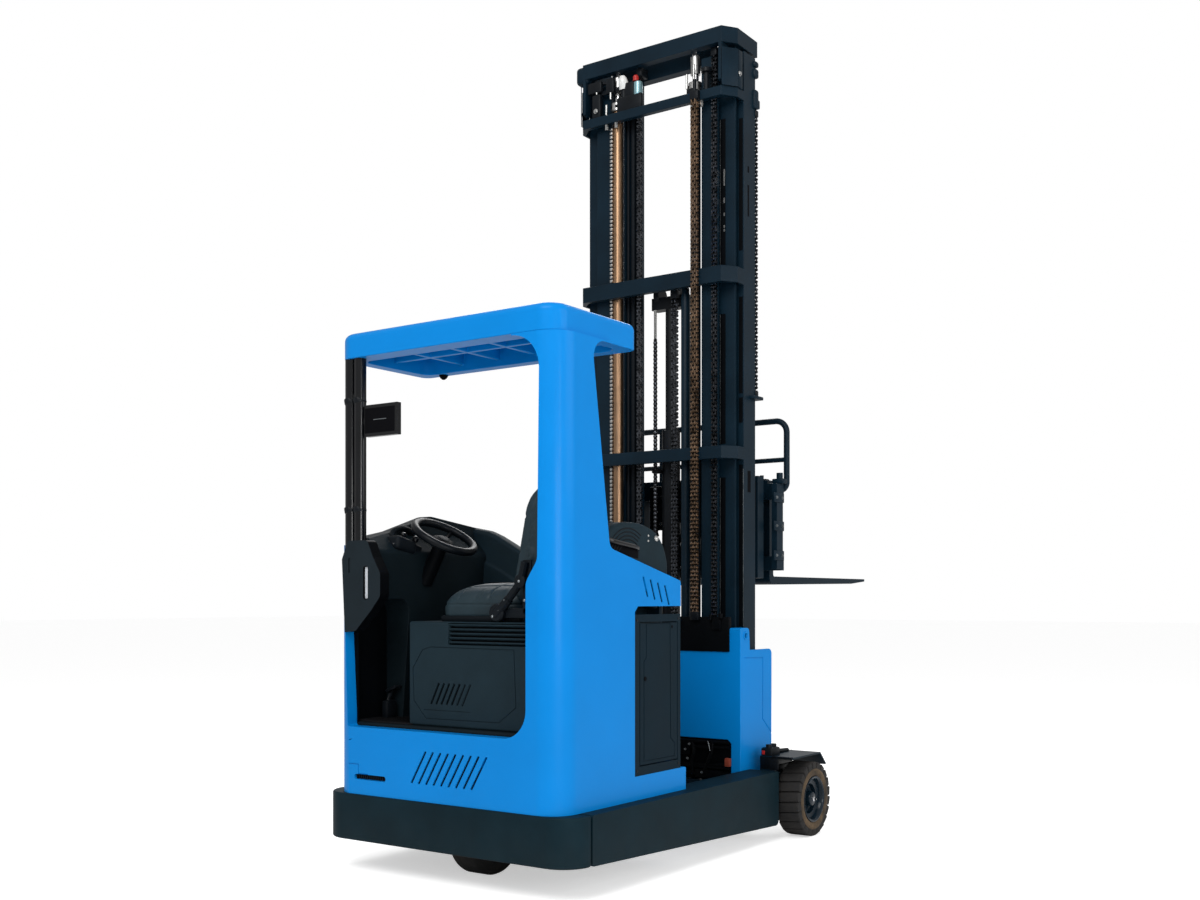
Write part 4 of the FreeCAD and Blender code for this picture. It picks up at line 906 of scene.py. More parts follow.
# %% Dished rims with stepped hubs
def rim(node, face, name, dish, hub_r):
    """A pressed rim: an outer lip, two steps down into the dish, and a round hub."""
    low, high = box_of(node)
    centre = (low + high) / 2
    radius = (high.z - low.z) / 2
    y = high.y if face > 0 else low.y
    start = Vector((centre.x, y, centre.z))
    profile = [
        (-0.020, radius),
        (0.004, radius),
        (0.005, radius - 0.004),
        (0.002, radius - 0.010),
        (-0.004, radius - 0.014),
        (-dish * 0.45, radius - 0.018),
        (-dish * 0.50, radius - 0.024),
        (-dish * 0.55, radius - 0.036),
        (-dish * 0.95, radius - 0.040),
        (-dish, radius - 0.046),
        (-dish, hub_r + 0.012),
        (-dish + 0.004, hub_r + 0.002),
        (-0.012, hub_r),
        (-0.006, hub_r - 0.003),
        (-0.004, hub_r - 0.008),
        (-0.004, 0.0),
    ]
    made = Kit().turned(start, (0, face, 0), profile, 72).made(
        name, BODY_OF[node], SLOT_OF[node], rim_paint, angle=28,
    )
    caps = Kit()
    caps.turned(
        start - Vector((0, face * 0.004, 0)), (0, face, 0),
        [(0, 0.012), (0.005, 0.011), (0.007, 0.006), (0.007, 0)], 24,
    )
    caps.rod(start, start + Vector((0, face * 0.014, 0)), 0.0035, 0.0025, 12)
    caps.made(name + "_nipple", BODY_OF[node], "chromed_rod", chrome)
    return made


for node, side in (("right_rim", -1), ("left_rim", 1)):
    outer_face = rim(node, side, node + "_outer", 0.046, 0.034)
    rim(node, -side, node + "_inner", 0.030, 0.034)
    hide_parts(node)
for face in (-1, 1):
    drive_face = rim("drive_hub", face, "drive_rim_%s" % ("left" if face > 0 else "right"), 0.020, 0.045)
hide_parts("drive_hub")
print("rims: two faces on each of three wheels")

# %% [markdown]
# ## The seat
# The seat is two stuffed pieces in dark vinyl. Each starts from its own solid with broad
# rounded corners, is remeshed fine, and is blown up a little as cloth, held to a few
# millimetres so that it keeps its seat. The sewn channels are pressed in after that.


# %% A vinyl with a leather grain
def vinyl(name, colour):
    """Soft vinyl: worn paler in patches, with small leather cells."""
    material, nodes, links = plain_material(name)
    shader = nodes["Principled BSDF"]
    place = nodes.new("ShaderNodeTexCoord")
    worn = span(nodes, links, noise(nodes, links, place, 7.0, 4.0), 0.0, 1.0, 0.3, 0.7)
    pale = tuple(min(1, channel * 1.35) for channel in colour)
    links.new(mixed(nodes, links, worn, colour, pale), shader.inputs["Base Color"])
    links.new(span(nodes, links, worn, 0.48, 0.6), shader.inputs["Roughness"])
    shader.inputs["Specular IOR Level"].default_value = 0.22
    cells = nodes.new("ShaderNodeTexVoronoi")
    cells.inputs["Scale"].default_value = 420.0
    links.new(place.outputs["Object"], cells.inputs["Vector"])
    relief = nodes.new("ShaderNodeBump")
    relief.inputs["Strength"].default_value = 0.25
    relief.inputs["Distance"].default_value = 0.0012
    links.new(cells.outputs["Distance"], relief.inputs["Height"])
    links.new(relief.outputs["Normal"], shader.inputs["Normal"])
    return material


seat_vinyl = vinyl("seat_vinyl", (0.0095, 0.0205, 0.0270))
print("vinyl:", seat_vinyl.name)


# %% A rounded block to start a pad from
def rounded_block(node, through, corner, edge, shrink, shape):
    """The node's solid, a little smaller, with broad corners through one axis and rounded rims."""
    work = bmesh.new()
    work.from_mesh(merged_copy(node))
    centre = sum((v.co for v in work.verts), Vector()) / len(work.verts)
    for vert in work.verts:
        away = vert.co - centre
        for axis in range(3):
            vert.co[axis] -= shrink * (1 if away[axis] > 0 else -1)
    posts = []
    for line in work.edges:
        way = (line.verts[1].co - line.verts[0].co).normalized()
        if abs(way[through]) > 0.9:
            posts.append(line)
    bmesh.ops.bevel(work, geom=posts, offset=corner, segments=8, affect="EDGES", profile=0.5)
    made = new_object(node + "_pad", meshed(work, node))
    bevel(made, edge, 6, 40.0)
    remesh = made.modifiers.new("remesh", "REMESH")
    remesh.mode = "VOXEL"
    remesh.voxel_size = 0.006
    applied(made)
    for vert in made.data.vertices:
        vert.co = shape(vert.co)
    return made


# %% Swelling it as cloth
def swollen(made, pressure, cap):
    """The mesh blown up as cloth, with every point held within a cap of its start."""
    start = [v.co.copy() for v in made.data.vertices]
    cloth = made.modifiers.new("cloth", "CLOTH")
    cloth.settings.use_pressure = True
    cloth.settings.uniform_pressure_force = pressure
    cloth.settings.effector_weights.gravity = 0.0
    cloth.point_cache.frame_start = 1
    cloth.point_cache.frame_end = 20
    for step in range(1, 21):
        bpy.context.scene.frame_set(step)
    applied(made)
    bpy.context.scene.frame_set(1)
    for vert, origin in zip(made.data.vertices, start):
        move = vert.co - origin
        if move.length > cap:
            vert.co = origin + move.normalized() * cap
    return made


# %% Pressing in the sewn channels
def channelled(made, seams):
    """Presses sewn channels into the mesh, each a plane with a share of the surface it crosses."""
    work = bmesh.new()
    work.from_mesh(made.data)
    work.normal_update()
    for vert in work.verts:
        sink = 0.0
        for normal, offset, depth, width, keep in seams:
            if keep(vert.co, vert.normal):
                away = vert.co.dot(Vector(normal)) - offset
                sink = max(sink, depth * math.exp(-((away / width) ** 2)))
        vert.co -= vert.normal * sink
    work.to_mesh(made.data)
    work.free()


# %% A whole pad, from block to seams
def cushion(node, through, corner, edge, shape, seams, name):
    """A stuffed pad in a node's place: rounded, swollen, smoothed and sewn."""
    pad = rounded_block(node, through, corner, edge, 0.005, shape)
    swollen(pad, 4.0, 0.009)
    smooth = pad.modifiers.new("one_level", "SUBSURF")
    smooth.levels = 1
    smooth.render_levels = 1
    applied(pad)
    channelled(pad, seams)
    pad.name = name
    pad.data.materials.clear()
    pad.data.materials.append(seat_vinyl)
    shade(pad.data, 80)
    place_on(pad, BODY_OF[node])
    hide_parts(node)
    print(name, len(pad.data.vertices), "points")
    return pad


# %% Cushion and backrest
def upper(co, normal):
    """True on a pad's top."""
    return normal.z > 0.35


def front_of_back(co, normal):
    """True on the backrest's front."""
    return normal.y > 0.35


def rim_of_pad(co, normal):
    """True round the cushion's rim."""
    return abs(normal.z) < 0.75


def rim_of_back(co, normal):
    """True round the backrest's rim."""
    return abs(normal.y) < 0.7


def crowned(co):
    """The cushion's top falls to its rims and its nose, and its sides pull in below."""
    low, high = box_of_cushion
    across = abs(co.x - (low.x + high.x) / 2) / ((high.x - low.x) / 2)
    ahead = max(0.0, (co.y - (low.y + high.y) / 2) / ((high.y - low.y) / 2))
    rise = max(0.0, (co.z - low.z) / (high.z - low.z))
    drop = (0.060 * across**3 + 0.034 * ahead**3 - 0.012) * rise + 0.024 * (1 - rise)
    return Vector((co.x, co.y + 0.012 * rise * (1 - rise) * 4 * ahead, co.z - drop))


def bolstered(co):
    """The backrest is thicker toward its sides, and its front hollows for the driver's back."""
    low, high = box_of_back
    across = abs(co.x - (low.x + high.x) / 2) / ((high.x - low.x) / 2)
    lean = (co.z - low.z) / (high.z - low.z)
    ahead = (co.y - low.y) / (high.y - low.y)
    push = 0.046 * ahead * (1 - 0.55 * lean**2) * (0.7 + 0.3 * across**2)
    return Vector((co.x, co.y + push, co.z - (0.034 * ahead + 0.014 * across**4) * lean**4))


box_of_cushion = box_of("seat_cushion")
box_of_back = box_of("seat_back")
cushion(
    "seat_cushion", 2, 0.060, 0.034, crowned,
    [
        ((1, 0, 0), -1.375, 0.006, 0.006, upper),
        ((1, 0, 0), -1.085, 0.006, 0.006, upper),
        ((0, 1, 0), 0.020, 0.005, 0.006, upper),
        ((0, 1, 0), -0.135, 0.005, 0.006, upper),
        ((0, 0, 1), 1.098, 0.0035, 0.004, rim_of_pad),
    ],
    "cushion",
)
cushion(
    "seat_back", 1, 0.120, 0.036, bolstered,
    [
        ((1, 0, 0), -1.365, 0.006, 0.006, front_of_back),
        ((1, 0, 0), -1.095, 0.006, 0.006, front_of_back),
        ((0, 0, 1), 1.440, 0.005, 0.006, front_of_back),
        ((0, 0, 1), 1.300, 0.005, 0.006, front_of_back),
        ((0, 0.98, 0.16), -0.115, 0.0035, 0.004, rim_of_back),
    ],
    "backrest",
)

# %% The seat's frame, its reclining arm and its bolts
arm = Kit()
arm_x = -1.492
upper_line = [(-0.350, 1.262), (-0.334, 1.200), (-0.318, 1.172), (-0.262, 1.112)]
lower_line = [(-0.270, 1.120), (-0.232, 1.082), (-0.205, 1.056)]
for arm_line, radius in ((upper_line, 0.016), (lower_line, 0.019)):
    arm.tube([(arm_x, y, z) for y, z in arm_line], radius)
lower_hub = [(0, 0.036), (0.018, 0.036), (0.024, 0.030), (0.024, 0)]
upper_hub = [(0, 0.026), (0.022, 0.026), (0.026, 0.020), (0.026, 0)]
arm.turned((arm_x + 0.012, -0.212, 1.066), (-1, 0, 0), lower_hub, 32)
arm.turned((arm_x + 0.012, -0.330, 1.188), (-1, 0, 0), upper_hub, 32)
arm.box((-1.484, -0.390, 1.046), (-1.474, -0.180, 1.086), 0.004)
arm.box((-1.484, -0.372, 1.060), (-1.474, -0.330, 1.270), 0.004)
arm.made("recliner_arm", "chassis", "black_machine", deep_plastic)
arm_bolts = Kit()
bolt_head = [(0, 0.0055), (0.004, 0.0055), (0.006, 0.003), (0.006, 0)]
for x, y, z in (
    (-0.012, -0.330, 1.188), (-0.012, -0.261, 1.115), (-0.012, -0.229, 1.078), (-0.012, -0.199, 1.052),
    (0.008, -0.341, 1.115),
):
    arm_bolts.turned((arm_x + x, y, z), (-1, 0, 0), bolt_head, 16)
arm_bolts.made("recliner_bolts", "chassis", "chromed_rod", worn_steel)
pan = Kit()
pan.box((-1.462, -0.300, 1.030), (-0.998, 0.108, 1.0535), 0.006)
pan.made("seat_pan", "chassis", "black_machine", deep_plastic)
print("seat: two pads, arm, bolts and pan")

# %% [markdown]
# ## Seat box
# The box under the seat is a moulded cover with a stepped outline groove, a louvred vent under
# the seat's edge and seven slanting slots. Behind each opening lies a black plate of painted
# shade, which stands for the shade inside it.

# %% The seat box's rear cover
face_x = box_of("seat_box")[0].x
panel_line = [
    (0.119, 0.928), (-0.312, 0.925), (-0.322, 0.705), (-0.238, 0.643), (0.140, 0.641),
    (0.162, 0.663), (0.206, 0.711), (0.212, 0.841), (0.160, 0.915),
]
seat_cuts = Kit()
seat_cuts.band([(face_x, y, z) for y, z in panel_line], (1, 0, 0), 0.0035, -0.003, 0.003, closed=True)
seat_cuts.band([(face_x, 0.150, 0.676), (face_x, -0.092, 0.676)], (1, 0, 0), 0.003, -0.003, 0.0025)
for index in range(7):
    foot = 0.114 - index * 0.0273
    slot_points = [(face_x, foot, 0.699), (face_x, foot - 0.043, 0.785)]
    seat_cuts.band(slot_points, (1, 0, 0), 0.010, -0.004, 0.009)
seat_cuts.box((face_x - 0.01, -0.371, 0.938), (face_x + 0.020, 0.023, 1.025), 0.004)
dressed("seat_box", cab_plastic, 0.010, 4, seat_cuts)
# Black plates behind the slots and the louvred vent are painted shade.
shade_backs = Kit()
shade_backs.box((face_x + 0.0082, -0.110, 0.690), (face_x + 0.010, 0.130, 0.795))
shade_backs.box((face_x + 0.0186, -0.374, 0.935), (face_x + 0.021, 0.026, 1.028))
shade_backs.made("seat_box_backs", "chassis", "black_machine", black_and_painted_shade)
tilt = Matrix.Rotation(math.radians(28), 4, "Y")
louvre = Kit().box((face_x + 0.001, -0.368, -0.003), (face_x + 0.017, 0.020, 0.003), 0.002, tilt)
repeated(
    "seat_box_louvres", "chassis", "cab_plastic", cab_plastic, louvre, 5,
    step=(0, 0, 0.0172), start=(0, 0, 0.947),
)
dressed("deck", cab_plastic, 0.004, 2)
print("seat box: seven slots and five louvres")

# %% [markdown]
# ## The driver's place
# The driver sits sideways. The hand wheel, the lever pod and the pedals stand along the left
# wall, and a low cowl runs across the front of the cab from the hood to the right side.

# %% Steering wheel
wheel_low, wheel_high = box_of("steering_wheel")
hub = (wheel_low + wheel_high) / 2
tip = Vector((0, -0.5, 0.866025))
across = Vector((1, 0, 0))
along = tip.cross(across)
wheel = Kit()
wheel.ring(hub, tip, 0.134, 0.0172)
spokes = Kit()
bowl = [(0, 0.020), (0.004, 0.034), (0.018, 0.044), (0.026, 0.042), (0.031, 0.030), (0.032, 0)]
spokes.turned(hub - tip * 0.038, tip, bowl, 40)
for turn in (30, 150, 270):
    way = across * math.cos(math.radians(turn)) + along * math.sin(math.radians(turn))
    points = [
        hub - tip * 0.022 + way * 0.030, hub - tip * 0.020 + way * 0.080,
        hub - tip * 0.003 + way * 0.130,
    ]
    spokes.tube(points, 0.0095)
grip = finish("grip_plastic", (0.0022, 0.0036, 0.0052), 0.40, 0.1, 12.0, 0.1, 600.0, specular=0.14)
steering = wheel.made("hand_wheel", "steering_wheel", SLOT_OF["steering_wheel"], grip, angle=40)
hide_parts("steering_wheel")
spokes.made("wheel_spokes", "steering_wheel", SLOT_OF["steering_wheel"], dense_black, angle=40)
boss = Kit().turned(hub - tip * 0.0065, tip, [(0, 0.026), (0.002, 0.025), (0.003, 0.022), (0.003, 0)], 32)
boss.made("hand_wheel_cap", "steering_wheel", SLOT_OF["steering_wheel"], deep_plastic)
print("hand wheel: rim, three spokes and cap")

# %% Lever pod, gaiter and controls beside the wheel
pod = Kit()
lean = Matrix.Rotation(math.radians(14), 4, "Y")
pod.box((-1.424, 0.382, 1.318), (-1.300, 0.530, 1.378), 0.018, lean, segments=3)
pod.box((-1.408, 0.405, 1.286), (-1.318, 0.515, 1.330), 0.010, lean, segments=3)
pod.box((-1.398, 0.418, 1.160), (-1.345, 0.500, 1.296), 0.012, lean, segments=3)
pod.box((-1.312, 0.395, 1.300), (-1.262, 0.470, 1.352), 0.010, lean, segments=3)
pod.box((-1.460, 0.470, 1.170), (-1.424, 0.541, 1.268), 0.010, segments=3)
pod.tube(
    [
        (-1.392, 0.440, 1.360), (-1.398, 0.446, 1.392), (-1.366, 0.452, 1.418), (-1.300, 0.456, 1.428),
        (-1.250, 0.458, 1.404),
    ],
    0.0125,
)
pod.tube([(-1.292, 0.414, 1.332), (-1.298, 0.405, 1.352), (-1.300, 0.402, 1.368)], 0.006)
pod.made("lever_pod", "chassis", "cab_plastic", deep_plastic)
knobs = Kit()
knob = [(0, 0.006), (0.006, 0.013), (0.020, 0.014), (0.028, 0.008), (0.029, 0)]
for place in ((-1.300, 0.402, 1.366), (-1.352, 0.424, 1.380)):
    knobs.turned(Vector(place) - Vector((0, 0, 0.004)), (0, -0.3, 1), knob, 20)
knobs.made("lever_knobs", "chassis", "black_machine", gloss_black)
# Chrome buttons and a thin chrome strip on the pod are partly real switches and partly painted highlights.
glints = Kit()
button = [(0, 0.0045), (0.004, 0.004), (0.005, 0.002), (0.005, 0)]
for x, y, z in (
    (-1.425, 0.405, 1.352), (-1.427, 0.440, 1.338), (-1.427, 0.486, 1.350), (-1.407, 0.500, 1.310),
    (-1.407, 0.430, 1.305), (-1.314, 0.404, 1.340),
):
    glints.turned((x + 0.002, y, z), (-1, 0, 0), button, 16)
glints.box((-1.4290, 0.425, 1.362), (-1.4265, 0.470, 1.3645), 0.0005)
glints.made("pod_switches", "chassis", "chromed_rod", chrome)
folds = []
for index in range(8):
    folds += [(index * 0.0145, 0.030), (index * 0.0145 + 0.007, 0.037)]
folds = [(0, 0.0)] + folds + [(0.118, 0.028), (0.150, 0.016), (0.168, 0.014), (0.168, 0.0)]
gaiter = Kit().turned((-1.262, 0.460, 0.998), (0, 0, 1), folds, 32)
gaiter.rod((-1.262, 0.460, 0.612), (-1.262, 0.460, 1.008), 0.013)
gaiter.made("column_gaiter", "chassis", "black_machine", gloss_black, angle=25)
print("controls: pod, levers, switches and gaiter")

# %% Pedals, mat and its ribs
pedals = Kit()
pedals.box((-1.400, 0.466, 0.612), (-1.340, 0.500, 0.690), 0.008)
pedals.tube([(-1.372, 0.490, 0.680), (-1.352, 0.500, 0.720), (-1.320, 0.490, 0.738)], 0.010)
pedals.box((-1.370, 0.450, 0.730), (-1.250, 0.510, 0.744), 0.004, Matrix.Rotation(math.radians(-22), 4, "X"))
pedals.tube([(-1.262, 0.490, 0.740), (-1.262, 0.500, 0.690), (-1.262, 0.500, 0.612)], 0.009)
pedals.box((-1.210, 0.330, 0.612), (-1.130, 0.420, 0.626), 0.004, Matrix.Rotation(math.radians(14), 4, "X"))
pedals.made("pedal_stalks", "chassis", "black_machine", black_paint)
floor_low, floor_high = box_of("cab_floor")
mat = Kit()
mat.box(
    (floor_low.x + 0.012, 0.214, floor_high.z), (floor_high.x - 0.008, 0.535, floor_high.z + 0.006),
    0.002,
)
mat.made("floor_mat", "chassis", "floor_rubber", mat_rubber)
rib = Kit().box((floor_low.x + 0.03, -0.002, 0), (floor_high.x - 0.03, 0.002, 0.0022))
start = (0, 0.232, floor_high.z + 0.0058)
repeated("mat_ribs", "chassis", "floor_rubber", mat_rubber, rib, 19, step=(0, 0.0158, 0), start=start)
print("floor mat: 19 ribs")


# %% The cowl across the front of the cab
def front_cowl():
    """A closed shell under a falling top line, from the hood to the right side."""
    foot = 1.0515
    tops = [
        (0.500, 1.452), (0.389, 1.432), (0.340, 1.412), (0.270, 1.376), (0.180, 1.328), (0.060, 1.278),
        (-0.100, 1.240), (-0.300, 1.226), (-0.434, 1.222),
    ]
    rows = []
    for y, top in tops:
        ring = [
            (-0.852, foot), (-0.852, top - 0.150), (-0.842, top - 0.138), (-0.838, top - 0.020),
            (-0.826, top - 0.004), (-0.800, top), (-0.7695, top - 0.006), (-0.7695, foot),
        ]
        rows.append([(x, y, z) for x, z in ring])
    return Kit().loft(rows).made("front_cowl", "chassis", "cab_plastic", cab_plastic, edge=0.004, angle=40)


cowl = front_cowl()
carve(cowl, Kit().box((-0.86, 0.05, 1.118), (-0.830, 0.362, 1.196), 0.006))
# A black plate at the back of the carved pocket is painted shade.
shade_pocket = Kit().box((-0.8325, 0.046, 1.114), (-0.829, 0.366, 1.200))
shade_pocket.made("cowl_pocket", "chassis", "black_machine", black_and_painted_shade)
print("front cowl: from the hood to the side cowl")


# %% The rounded armrest on the hood's right edge
def armrest(profile, y0, y1, edge):
    """A slab with this outline, its rims broadly rounded."""
    slab = Kit().loft([[(x, y, z) for x, z in profile] for y in (y0, y1)])
    made = new_object("armrest", slab.mesh("armrest"))
    bevel(made, edge, 5, 40.0)
    made.data.materials.append(cab_plastic)
    shade(made.data, 50)
    even_faces(made)
    return place_on(made, "chassis")


REST_FACE = -0.552
outline = [
    (-1.238, 1.150), (-1.238, 1.368), (-1.214, 1.396), (-1.180, 1.413), (-1.125, 1.425),
    (-1.037, 1.429), (-0.990, 1.427), (-0.948, 1.420), (-0.905, 1.409), (-0.868, 1.393),
    (-0.838, 1.370), (-0.814, 1.342), (-0.796, 1.308), (-0.784, 1.272), (-0.780, 1.150),
]
armrest(outline, REST_FACE, -0.466, 0.020)
grips = Kit()
for index in range(5):
    reach = 0.135 - index * 0.015
    points = []
    for step in range(9):
        turn = math.radians(158 - step * 13)
        x = -1.085 + 1.12 * reach * math.cos(turn)
        points.append((x, REST_FACE + 0.001, 1.268 + reach * math.sin(turn)))
    grips.tube(points, 0.0032)
grips.made("armrest_grips", "chassis", "black_machine", deep_plastic)
slope = Matrix.Rotation(math.radians(5.5), 4, "Y")
# A black box on the armrest's face is painted shade: it stands for a recess that is not cut.
shade_pocket = Kit().box((-1.232, REST_FACE - 0.0015, 1.292), (-1.012, REST_FACE + 0.010, 1.338), 0.004, slope)
shade_pocket.made("armrest_pocket", "chassis", "black_machine", black_and_painted_shade)
grab = Kit()
bar_line = [(-1.226, 0, 1.352), (-1.218, 0.010, 1.346), (-1.120, 0.011, 1.336), (-1.030, 0.010, 1.327)]
bar_line += [(-1.020, 0, 1.322)]
grab.tube([(x, REST_FACE - out, z) for x, out, z in bar_line], 0.010)
grab.made("armrest_bar", "chassis", "gloss_black", gloss_black)
# A zinc dome and two small screws are partly real studs and partly painted highlights, set where glints show.
stud_glints = Kit()
for x, z, radius in ((-0.884, 1.368, 0.013), (-0.940, 1.378, 0.005), (-0.940, 1.357, 0.005)):
    stud_glints.turned(
        (x, REST_FACE + 0.001, z), (-0.2, -1, 0.2),
        [(0, radius), (radius * 0.5, radius * 0.9), (radius * 0.8, radius * 0.4), (radius * 0.85, 0)],
        20,
    )
stud_glints.made("armrest_studs", "chassis", "chromed_rod", zinc)
print("armrest: five grip lines, a bar and three studs")

# %% [markdown]
# The guard's small pieces are turned or boxed: bands round its tubes, a dark glass with one
# bright line on the rear display, and a lamp under the roof that lights the driver's place.

# %% Overhead guard: its tubes' bands, the display's face and a lamp
bands = Kit()
for y in (0.461, 0.513):
    for z in (1.490, 1.940):
        bands.turned(
            (-1.563, y, z - 0.012), (0.0, 0.22, 1),
            [(0, 0.0256), (0.003, 0.0272), (0.021, 0.0272), (0.024, 0.0256)], 32, True,
        )
bands.made("post_bands", "chassis", "gloss_black", black_paint)
show_low, show_high = box_of("rear_display")
screen = Kit()
screen.box(
    (show_low.x - 0.0015, show_low.y + 0.014, show_low.z + 0.014),
    (show_low.x + 0.002, show_high.y - 0.014, show_high.z - 0.014), 0.001,
)
screen.made("display_glass", "chassis", "gloss_black", black_and_painted_shade)
mark = Kit().box((show_low.x - 0.0022, 0.300, 1.851), (show_low.x - 0.001, 0.372, 1.854))
mark.made("display_line", "chassis", "gloss_black", worn_steel)
lamp = Kit()
lamp.turned(
    (-1.075, 0.440, 2.118), (0, 0, -1),
    [(0, 0.020), (0.010, 0.020), (0.020, 0.014), (0.026, 0.006), (0.026, 0)], 24,
)
lamp.made("roof_lamp", "chassis", "black_machine", black_and_painted_shade)
print("overhead guard: bands, display face and lamp")

# %% [markdown]
# ## The mast
# Leaf chains lift the mast's stages. One module of two pitches is a stack of thin plates, every
# second one a pitch higher, with two pins through them. The Geometry Nodes tree repeats it, and
# a chain that runs from one stage to another stays where it is made, riding on neither stage.

# %% Chain and cylinder finishes
oiled_chain = finish("oiled_chain", (0.205, 0.136, 0.088), 0.26, 0.75, 26.0, metal=0.95)
dark_chain = finish("dark_chain", (0.058, 0.062, 0.070), 0.26, 0.75, 26.0, metal=0.95)
gold_steel = finish("gold_steel", (0.30, 0.185, 0.110), 0.36, 0.14, 14.0, metal=1.0)
red_cap = finish("red_cap", (0.36, 0.018, 0.014), 0.4, specular=0.3)
teal_metal = finish("teal_metal", (0.24, 0.40, 0.44), 0.3, 0.12, metal=0.7)
PITCH = 0.019
PLATE_HALF = 0.34
print("chain pitch:", PITCH)


# %% One chain module and its repeated run
def chain_module(width, rows):
    """Two pitches of leaf chain: its plates side by side, and two pins."""
    kit = Kit()
    lift = width / rows
    half = [
        (0, -0.0170), (0.0065, -0.0145), (0.0088, -0.0095), (0.0050, 0.0), (0.0088, 0.0095),
        (0.0065, 0.0145), (0, 0.0170),
    ]
    outline = half + [(-x, z) for x, z in reversed(half[1:-1])]
    for row in range(rows):
        y = -width / 2 + (row + 0.5) * lift
        shift = (row % 2) * PITCH
        edges = (y - PLATE_HALF * lift, y + PLATE_HALF * lift)
        kit.loft([[(x, edge, z + shift) for x, z in outline] for edge in edges])
    for z in (-PITCH / 2, PITCH / 2):
        kit.rod((0, -width / 2 - 0.003, z), (0, width / 2 + 0.003, z), 0.0042, sides=8)
    return kit


def chain(name, place, low, high, width, rows, material, bodies):
    """A run of leaf chain up from low to high, riding on one body, or on none when it runs between two."""
    x, y = place
    count = int((high - low) / (2 * PITCH))
    mesh = laid_out(
        chain_module(width, rows), count, step=(0, 0, 2 * PITCH), start=(x, y, low + PITCH), material=material
    )
    made = new_object(name, mesh)
    shade(mesh, 30)
    if len(bodies) == 1:
        return place_on(made, bodies[0])
    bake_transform(made)
    return made


chain(
    "carriage_chain", (-0.090, -0.264), 1.05, 3.49, 0.038, 4, oiled_chain,
    ("reach_carriage",),
)
for name, y in (("right_chain", -0.338), ("left_chain", 0.085)):
    stages = ("middle_mast", "inner_mast", 3.72, 0.20)
    chain(name, (-0.032, y), 0.20, 3.72, 0.027, 3, dark_chain, stages)
chain(
    "free_chain_rear", (0.000, -0.098), 0.40, 2.60, 0.034, 4, dark_chain,
    ("inner_mast", "lift_head", 0.40, 2.60),
)
chain(
    "free_chain_front", (0.118, -0.098), 1.47, 2.60, 0.034, 4, dark_chain,
    ("lift_head", "lift_carriage", 2.60, 1.47),
)
chain("rail_chain", (0.182, -0.446), 2.094, 3.490, 0.014, 2, dark_chain, ("reach_carriage",))

# %% Chain anchors, at each run's two ends
anchors = Kit()
anchors.box((-0.100, -0.286, 3.490), (-0.072, -0.242, 3.532), 0.004)
anchors.rod((-0.090, -0.264, 3.525), (-0.090, -0.264, 3.585), 0.009)
anchors.box((-0.100, -0.286, 1.020), (-0.074, -0.242, 1.062), 0.004)
anchors.box((0.164, -0.456, 3.450), (0.192, -0.436, 3.480), 0.003)
anchors.box((0.164, -0.456, 2.095), (0.192, -0.436, 2.125), 0.003)
anchors.made("carriage_anchors", "reach_carriage", "black_machine", black_paint)
anchor_boxes = {
    "middle_mast": [
        ((-0.041, -0.354, 3.700), (0.020, -0.322, 3.742)),
        ((-0.041, 0.070, 3.700), (0.020, 0.100, 3.742)),
    ],
    "inner_mast": [
        ((-0.041, -0.354, 0.176), (-0.015, -0.300, 0.212)),
        ((-0.041, 0.066, 0.176), (-0.012, 0.104, 0.212)),
        ((-0.012, -0.118, 0.376), (0.018, -0.078, 0.410)),
    ],
    "lift_head": [
        ((-0.012, -0.118, 2.585), (0.022, -0.078, 2.625)),
        ((0.098, -0.118, 2.585), (0.130, -0.078, 2.625)),
    ],
    "lift_carriage": [((0.104, -0.118, 1.440), (0.222, -0.078, 1.476))],
}
for body, boxes in anchor_boxes.items():
    kit = Kit()
    for low, high in boxes:
        kit.box(low, high, 0.004)
    kit.made(body + "_anchors", body, "black_machine", black_paint)
print("anchors: on five bodies")

# %% [markdown]
# Two cylinders push the middle stage up. Each barrel is one lathe shape that ends in a gland
# nut, where the rod comes out. A strip beside the left barrel repeats one small bright plate.

# %% Lift cylinders: a bright left barrel, a dark right one, and their gland nuts
barrel_low, barrel_high = box_of("lift_barrels")
barrel_x = (barrel_low.x + barrel_high.x) / 2
BARREL_R = 0.025
barrel_y = barrel_high.y - BARREL_R
for side, material, slot in ((1, gold_steel, "chromed_rod"), (-1, black_paint, "black_machine")):
    foot = (barrel_x, side * barrel_y, barrel_low.z)
    tall = barrel_high.z - barrel_low.z
    small = BARREL_R - 0.002
    profile = [(0, 0), (0, small), (0.002, BARREL_R), (tall - 0.002, BARREL_R), (tall, small), (tall, 0)]
    kit = Kit().turned(foot, (0, 0, 1), profile, 48)
    kit.made(
        "lift_barrel_%s" % ("left" if side > 0 else "right"), "reach_carriage", slot, material,
    )
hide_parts("lift_barrels")
strip = Kit().box((-0.0448, 0.2420, -0.007), (-0.0250, 0.2560, 0.007), 0.002)
repeated(
    "measuring_strip", "reach_carriage", "chromed_rod", zinc, strip, 127,
    step=(0, 0, 0.02), start=(0, 0, 0.95),
)
GLAND_LOW = 3.556
glands = Kit()
